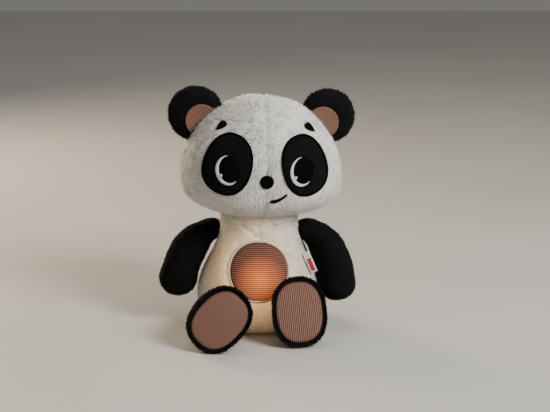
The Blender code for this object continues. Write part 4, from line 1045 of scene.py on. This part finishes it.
def body():
    """The body's plush skin with its seams and folds, open at the window and at the back, and its pile."""
    heights = [BODY_WIDEST_Z * (index / 16) ** 1.8 for index in range(16)]
    heights += [BODY_WIDEST_Z + (BODY_TOP_Z - BODY_WIDEST_Z) * index / 44 for index in range(45)]
    bm = loft([body_section(z) for z in heights], 144)

    def sewn(point):
        if point.z < 0.0015:
            return 0.0
        rise = lumps(point, 0.026, 0.0010, 8) + lumps(point, 0.010, 0.0004, 9)
        from_window = math.hypot(point.x, point.z - WINDOW_Z)
        if point.y < 0:
            rise -= groove(point.x - seam_line(point.z), 0.0014, 0.0018)
            rise -= chest_pull(point)
            reach = max(0.0, min(1.0, (LAP_FOLD_TOP - point.z) / 0.02))
            for fold, lean in LAP_FOLDS:
                rise -= groove(point.x - fold - lean * (point.z - 0.02), 0.0022, 0.0018) * reach
            rise += groove(from_window - 0.036, 0.006, 0.0012)
            rise -= groove(from_window - 0.0300, 0.0025, 0.0014)
        seam = abs(abs(point.x) - (0.0375 + 0.25 * (BODY_TOP_Z - point.z) * 0.9))
        if point.y < -0.012:
            rise -= groove(seam, 0.0011, 0.0010)
        return min(rise, 0.0014) - 0.0004

    press(bm, sewn)
    round_hole(bm, WINDOW_Z, WINDOW_RADIUS - 0.0006, True)
    round_hole(bm, BACK_OPENING_Z, BACK_OPENING_RADIUS, False, FLAP_TOP - 0.003)
    bmesh.ops.recalc_face_normals(bm, faces=bm.faces)
    skin = finish_piece(
        "body_plush", bm, "body_skin", "body", ("body_cover",), outward=False
    )
    wall = skin.modifiers.new("cloth", "SOLIDIFY")
    wall.thickness, wall.offset = 0.0018, -1

    def clear(point, out):
        from_window = math.hypot(point.x, point.z - WINDOW_Z)
        from_opening = math.hypot(point.x, point.z - BACK_OPENING_Z)
        if point.z < 0.0012 or (point.z > 0.1085 and out.z > 0.7):
            return False
        if point.y < 0 and from_window < WINDOW_RADIUS + 0.0012:
            return False
        if point.y < 0 and point.z > WINDOW_Z and abs(point.x - seam_line(point.z)) < 0.0004:
            return False
        return not (point.y > 0 and from_opening < FLAP_RADIUS - 0.001)

    grow_pile(
        "body_pile", skin, "body_pile", "body", BODY_TUFT,
        lambda point: Vector((0.6 * point.x / 0.05, 0, -1)), 41, clear,
    )


def neck():
    """The gathered plush between the head and the body."""
    profile = [(0.0, NECK_RADIUS)]
    for index in range(1, 15):
        angle = math.pi / 2 * (1 - index / 14)
        profile.append((NECK_RADIUS * math.cos(angle), NECK_RADIUS * math.sin(angle)))
    profile += [(NECK_RADIUS - 0.0002, -0.0003), (0.020, -0.0003), (0.020, -0.008), (0.0, -0.008)]
    bm = turned(profile, 120)

    def gathered(point):
        turn = math.atan2(point.y, point.x)
        return -0.0004 + 0.0005 * math.sin(26 * turn) if point.z > 0.0005 else 0.0

    press(bm, gathered)
    bm.transform(Matrix.Translation(NECK_PIVOT))
    piece = finish_piece("neck_plush", bm, "body_skin", "neck", ("neck_stuffing",))
    grow_pile(
        "neck_pile", piece, "body_pile", "neck", NECK_TUFT,
        lambda point: Vector((0.3 * point.x / 0.03, 0, -1)), 43,
        lambda point, out: NECK_PILE_LOW < point.z < NECK_PILE_HIGH,
    )


def window():
    """The round corduroy window over the lamp, in a stitched edging."""
    ribbed = corduroy_disc(WINDOW_RADIUS - 0.0012, WINDOW_RADIUS - 0.0012, thickness=0.0012, turn=math.pi / 2)
    place(ribbed, lambda point: body_spot(point.x, WINDOW_Z + point.y, point.z - 0.0014))
    finish_piece("belly_corduroy", ribbed, "window", "light_button", ("belly_window",))

    def rim(angle):
        return oval_reach(angle, WINDOW_RADIUS - 0.0003, WINDOW_RADIUS - 0.0003)

    ring = thread_ring(rim, width=0.0019, height=0.0011, segments=220)
    place(ring, lambda point: body_spot(point.x, WINDOW_Z + point.y, 0.0001 + point.z))
    finish_piece("belly_window_edging", ring, "pink_thread", "body")


def back_flap():
    """The flap over the back pouch: plush outside, with its strip inside."""
    sharp = math.asin(FLAP_TOP / FLAP_RADIUS)

    def outline(angle):
        x, z = FLAP_RADIUS * math.cos(angle), FLAP_RADIUS * math.sin(angle)
        if sharp < angle < math.pi - sharp:
            x, z = x * FLAP_TOP / z, FLAP_TOP
        return x, z

    bm = stitched_pad(outline, height=0.0019, segments=110, rings=22)
    for face in bm.faces:
        face.material_index = 1 if all(vert.co.z < 0 for vert in face.verts) else 0
    place(bm, lambda point: body_spot(point.x, BACK_OPENING_Z + point.y, 0.0028 + point.z, True))
    flap = finish_piece(
        "back_flap_plush", bm, "body_skin", "back_flap", ("back_flap",)
    )
    flap.data.materials.append(FINISHES["lining"])
    grow_pile(
        "back_flap_pile", flap, "body_pile", "back_flap", FLAP_TUFT,
        lambda point: Vector((0, 0, -1)), 47, lambda point, out: out.y > 0.25,
    )


LABEL_WIDTH, LABEL_LENGTH, LABEL_LEAN = 0.0070, 0.0220, math.radians(24)


def side_label():
    """A folded tape label with a plain border, sewn into the side seam."""
    low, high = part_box("side_label")
    middle = (low + high) / 2
    bm = bmesh.new()
    columns = 10
    bmesh.ops.create_grid(bm, x_segments=columns, y_segments=24, size=0.5)

    def hung(point):
        x, z = 0.0012 + point.x * LABEL_WIDTH, point.y * LABEL_LENGTH
        curl = 0.0011 * math.sin(point.y * 5 + 0.4) + 0.0006 * point.x
        aside = x * math.cos(LABEL_LEAN) - z * math.sin(LABEL_LEAN)
        up = z * math.cos(LABEL_LEAN) + x * math.sin(LABEL_LEAN)
        return middle + Vector((aside, curl, up))

    place(bm, hung)
    bm.faces.ensure_lookup_table()
    for index, face in enumerate(bm.faces):
        column, row = index % columns, index // columns
        face.material_index = 1 if 2 <= row <= 15 and 2 <= column <= 7 else 0
    piece = finish_piece("side_label_tape", bm, "label", "body", ("side_label",), outward=False)
    piece.data.materials.append(FINISHES["label_red"])
    tape = piece.modifiers.new("tape", "SOLIDIFY")
    tape.thickness, tape.offset = 0.0005, 0


# ---- limbs ----


def square_to(direction, hint):
    """Two directions at right angles to this one and to each other, the first one nearest to hint."""
    direction = direction.normalized()
    first = (hint - direction * hint.dot(direction)).normalized()
    return first, direction.cross(first)


def root_ball(centre, direction, first, second, radius, count, step):
    """The round end of a limb at its joint, as level sections a step of latitude apart."""
    sections = []
    for index in range(count):
        latitude = math.radians(-86 + step * index)
        size, shift = radius * math.cos(latitude), direction * radius * math.sin(latitude)
        sections.append(Section(centre + shift, first * size, second * size, 2.0))
    return sections


def arm(name, side):
    """A soft curved arm from its shoulder ball to its rounded hand."""
    shoulder = Vector((side * SHOULDER.x, SHOULDER.y, SHOULDER.z))
    mirror = Vector((side, 1, 1))
    elbow, tip = shoulder + ARM_ELBOW * mirror, shoulder + HANDS[name] * mirror
    forward = Vector((0, 1, 0))
    start = (elbow - shoulder).normalized()
    first, second = square_to(start, forward)
    sections = root_ball(shoulder, start, first, second, ARM_ROOT, 9, 9.5)
    for index in range(31):
        t = index / 30
        centre = shoulder * (1 - t) ** 2 + elbow * 2 * t * (1 - t) + tip * t**2
        direction = (elbow - shoulder) * (1 - t) + (tip - elbow) * t
        radius = ARM_ROOT + (ARM_RADIUS - ARM_ROOT) * math.sin(math.pi / 2 * min(1, 1.25 * t))
        flat = 1 - (1 - ARM_FLATNESS) * t
        first, second = square_to(direction, forward)
        sections.append(Section(centre, first * radius * flat, second * radius, 2.0))
    for index in range(1, 14):
        latitude = math.radians(88 * index / 13)
        size = ARM_RADIUS * math.cos(latitude)
        shift = direction.normalized() * ARM_RADIUS * math.sin(latitude)
        sections.append(Section(tip + shift, first * size * flat, second * size, 2.0))
    bm = loft(sections, 64)

    def sewn(point):
        rise = lumps(point, 0.018, 0.0010, 12 + side) + lumps(point, 0.007, 0.0004, 14 + side)
        near = math.hypot(point.x - shoulder.x, point.z - shoulder.z)
        rise -= groove(near - 0.016, 0.004, 0.0008) * (1 + 0.6 * math.sin(70 * point.y / 0.02))
        rise -= groove(point.y - shoulder.y + 0.3 * (shoulder.z - point.z), 0.0010, 0.0005)
        return rise - 0.0004

    press(bm, sewn)
    piece = finish_piece(
        f"{name}_arm_plush", bm, "black_skin", f"{name}_arm", (f"{name}_arm_cover",),
    )

    def outside(point, out):
        return (point - shoulder).length > ARM_ROOT * 0.9

    grow_pile(
        f"{name}_arm_pile", piece, "black_pile", f"{name}_arm", ARM_TUFT,
        lambda point: Vector((0.4 * side, 0, -1)), 51 + side, outside,
    )


def sole_frame(name, side):
    """Where a sole is: its middle, the way it faces, its long way and its short way."""
    centre, roll = SOLES[name]
    turn = Euler((0, 0, side * SOLE_TURN)).to_matrix()
    normal = turn @ Vector((0, -math.cos(SOLE_TILT), math.sin(SOLE_TILT)))
    first, second = square_to(normal, Vector((0, 0, 1)))
    long_way = first * math.cos(roll) + second * math.sin(roll)
    return Vector((side * centre.x, centre.y, centre.z)), normal, long_way, normal.cross(long_way)


def leg(name, side):
    """A leg that widens from its hip to a flat oval sole."""
    hip = Vector((side * HIP.x, HIP.y, HIP.z))
    centre, normal, long_way, short_way = sole_frame(name, side)
    direction = (centre - hip).normalized()
    first, second = square_to(direction, long_way)
    sections = root_ball(hip, direction, first, second, LEG_ROOT, 8, 10.5)
    straight = LEG_STRAIGHT / (centre - hip).length
    for index in range(33):
        t = index / 32
        share = max(0.0, min(1.0, (t - straight) / (0.93 - straight)))
        growth = math.sin(math.pi / 2 * share) ** 1.5
        rounding = 1 - 0.06 * (max(0.0, t - 0.9) / 0.1) ** 2
        aim = direction.lerp(normal, min(1, t / 0.8)).normalized()
        first, second = square_to(aim, long_way)
        wide = first * (LEG_ROOT + (FOOT_LONG - LEG_ROOT) * growth) * rounding
        deep = second * (LEG_ROOT + (FOOT_SHORT - LEG_ROOT) * growth) * rounding
        sections.append(Section(hip.lerp(centre, t), wide, deep, 2.0 + (SOLE_BOXINESS - 2.0) * t**2))
    for share in (0.955, 0.90, 0.80, 0.6, 0.4, 0.2, 0.05):
        dip = normal * (0.0006 * share - 0.0016)
        wide, deep = long_way * FOOT_LONG * share, short_way * FOOT_SHORT * share
        sections.append(Section(centre + dip, wide, deep, SOLE_BOXINESS))
    bm = loft(sections, 96)

    def sewn(point):
        if (point - centre).dot(normal) > -0.0018:
            return 0.0
        rise = lumps(point, 0.016, 0.0010, 16 + side) + lumps(point, 0.007, 0.0004, 18 + side)
        behind = -(point - centre).dot(normal)
        rise -= groove(behind - 0.0055, 0.0012, 0.0006)
        rise -= groove(behind - 0.026 - 0.12 * (point.z - 0.03), 0.0035, 0.0012)
        return min(0.0, rise - 0.0003) if point.z < 0.004 else rise - 0.0003

    press(bm, sewn)
    piece = finish_piece(
        f"{name}_leg_plush", bm, "black_skin", f"{name}_leg", (f"{name}_leg_cover",),
    )

    def furry(point, out):
        away = point - centre
        longways = away.dot(long_way) / (SOLE_LONG * 0.93)
        shortways = away.dot(short_way) / (SOLE_SHORT * 0.92)
        flat = abs(longways) ** SOLE_BOXINESS + abs(shortways) ** SOLE_BOXINESS
        on_sole = away.dot(normal) > -0.004 and flat < 1
        return not on_sole and (point - hip).length > LEG_ROOT * 0.9 and point.z > 0.0012

    grow_pile(
        f"{name}_leg_pile", piece, "black_pile", f"{name}_leg", LEG_TUFT,
        lambda point: normal * 1.2 + (point - centre).normalized() * 0.2, 61 + side, furry,
    )
    ribbed = corduroy_disc(
        SOLE_SHORT * 0.95, SOLE_LONG * 0.95, thickness=0.0010, dome=0.0014, boxiness=SOLE_BOXINESS
    )

    def onto_sole(point):
        return centre + short_way * point.x + long_way * point.y + normal * (point.z - 0.0006)

    place(ribbed, onto_sole)
    finish_piece(
        f"{name}_sole_corduroy", ribbed, "corduroy", f"{name}_leg", (f"{name}_sole",)
    )


# ---- what is inside ----


def filling():
    """Loose fibre in the shape of each stuffing, a little lumpy."""
    homes = {"head_stuffing": "head", "body_stuffing": "body"}
    for name, _ in SIDES:
        homes[f"{name}_arm_stuffing"] = f"{name}_arm"
        homes[f"{name}_leg_stuffing"] = f"{name}_leg"
    for node, home in homes.items():
        bm = bmesh.new()
        bm.from_mesh(nodes[node].data)
        bmesh.ops.remove_doubles(bm, verts=bm.verts, dist=1e-6)
        long_edges = [edge for edge in bm.edges if edge.calc_length() > 0.008]
        bmesh.ops.subdivide_edges(bm, edges=long_edges, cuts=1)
        drawn = node == "body_stuffing"

        def packed(point):
            pull = chest_pull(point) if drawn and point.y < 0 else 0.0
            return -0.0018 - pull - abs(lumps(point, 0.006, 0.0005, 3))

        press(bm, packed)
        name = node.replace("stuffing", "filling")
        finish_piece(name, bm, "filling", home, (node,))


def cloth_copy(node, name, body_name, finish):
    """A cloth piece in the shape of its solid, with softened edges."""
    bm = bmesh.new()
    bm.from_mesh(nodes[node].data)
    bmesh.ops.remove_doubles(bm, verts=bm.verts, dist=1e-6)
    press(bm, lambda point: -0.00008 + lumps(point, 0.004, 0.00008, 5))
    finish_piece(name, bm, finish, body_name, (node,))


def module_finishes():
    """Better finishes for the solids of the light and sound module."""
    housing = moulded("white_housing_plastic", (0.74, 0.74, 0.72), 0.42)
    dark = moulded("dark_plastic", (0.03, 0.03, 0.034), 0.45)
    steel = moulded("nickel_plated_steel", (0.62, 0.61, 0.60), 0.3, 1.0)
    board, shader = shader_of("circuit_board_green", BOARD_GREEN, 0.35)
    tracks = add_node(board, "ShaderNodeTexVoronoi", Scale=420.0)
    where = add_node(board, "ShaderNodeTexCoord")
    join(board, where.outputs["Object"], tracks.inputs["Vector"])
    colour_by(board, shader, tracks.outputs["Distance"], [(0.35, BOARD_GREEN), (0.5, TRACK_GREEN)])
    amber = moulded("amber_led", (0.95, 0.55, 0.18), 0.2, glow=(1.0, 0.5, 0.14), strength=4.0)
    milky = moulded("milky_lamp_plastic", (0.88, 0.74, 0.60), 0.4, glow=(1.0, 0.48, 0.16), strength=0.8)
    wrap = moulded("cell_wrap_blue", (0.05, 0.14, 0.40), 0.25)
    chosen = {
        "front_housing": housing, "rear_housing": housing, "reflector": housing, "battery_door": housing,
        "circuit_board": board, "press_switch": dark, "speaker": dark, "mode_switch": dark,
        "light_button": milky, "housing_screw_1": steel, "housing_screw_2": steel, "door_screw": steel,
    }
    for index in (1, 2, 3):
        chosen[f"led_{index}"] = amber
        chosen[f"battery_{index}"] = wrap
        chosen[f"contact_spring_{index}"] = steel
        chosen[f"contact_plate_{index}"] = steel
    for node, finish in chosen.items():
        for material_slot in nodes[node].material_slots:
            material_slot.material = finish


# ---- floor, light and camera ----

TABLE_DARK, TABLE_LIGHT = (0.59, 0.56, 0.51), (0.64, 0.61, 0.56)
LIGHT_AIM = Vector((0, 0, 0.12))
CAMERA_PLACE, CAMERA_AIM, CAMERA_LENS = Vector((0.016, -1.2907, 0.448)), Vector((0.016, 0, 0.119)), 87.2


def studio():
    """A pale table under four soft lights."""
    bm = bmesh.new()
    bmesh.ops.create_grid(bm, x_segments=1, y_segments=1, size=3.0)
    bmesh.ops.translate(bm, verts=bm.verts, vec=(0, 0, -0.0002))
    mesh = bpy.data.meshes.new("floor")
    bm.to_mesh(mesh)
    bm.free()
    floor = bpy.data.objects.new("floor", mesh)
    bpy.context.scene.collection.objects.link(floor)
    finish, shader = shader_of("pale_table", (0.62, 0.59, 0.54), 0.35)
    colour_by(finish, shader, object_noise(finish, 3, 2), [(0.3, TABLE_DARK), (0.7, TABLE_LIGHT)])
    mesh.materials.append(finish)
    world = bpy.data.worlds.new("studio")
    bpy.context.scene.world = world
    world.use_nodes = True
    sky = world.node_tree.nodes["Background"]
    sky.inputs["Color"].default_value = (0.92, 0.90, 0.86, 1)
    sky.inputs["Strength"].default_value = 0.20
    softbox("key", (0.95, -0.85, 0.95), size=0.6, power=27.0, colour=(0.98, 0.99, 1.0))
    softbox("fill", (-0.95, -0.7, 0.5), size=0.9, power=0.6, colour=(1.0, 0.90, 0.74))
    softbox("warm_rim", (-0.80, 0.75, 0.60), size=0.5, power=12.0, colour=(1.0, 0.82, 0.58))
    softbox("top", (0.1, 0.1, 1.3), size=0.7, power=4.0, colour=(1.0, 0.97, 0.94))


def softbox(name, position, size, power, colour):
    """A round soft light that faces the panda."""
    data = bpy.data.lights.new(name, "AREA")
    data.shape, data.size, data.energy, data.color = "DISK", size, power, colour
    lamp = bpy.data.objects.new(name, data)
    lamp.location = position
    lamp.rotation_euler = (LIGHT_AIM - Vector(position)).to_track_quat("-Z", "Y").to_euler()
    bpy.context.scene.collection.objects.link(lamp)


def camera():
    """A long lens from a little above."""
    data = bpy.data.cameras.new("camera")
    data.sensor_width, data.lens = 36.0, CAMERA_LENS
    eye = bpy.data.objects.new("camera", data)
    eye.location = CAMERA_PLACE
    eye.rotation_euler = (CAMERA_AIM - CAMERA_PLACE).to_track_quat("-Z", "Y").to_euler()
    bpy.context.scene.collection.objects.link(eye)
    bpy.context.scene.camera = eye


camera()
studio()
head()
ears()
eyes()
nose_and_mouth()
brows()
neck()
body()
window()
back_flap()
side_label()
for side_name, side_sign in SIDES:
    arm(side_name, side_sign)
    leg(side_name, side_sign)
filling()
cloth_copy("module_pouch", "pouch_lining_piece", "body", "lining")
cloth_copy("loop_strip", "loop_tape", "body", "tape")
cloth_copy("hook_strip", "hook_tape", "back_flap", "tape")
module_finishes()
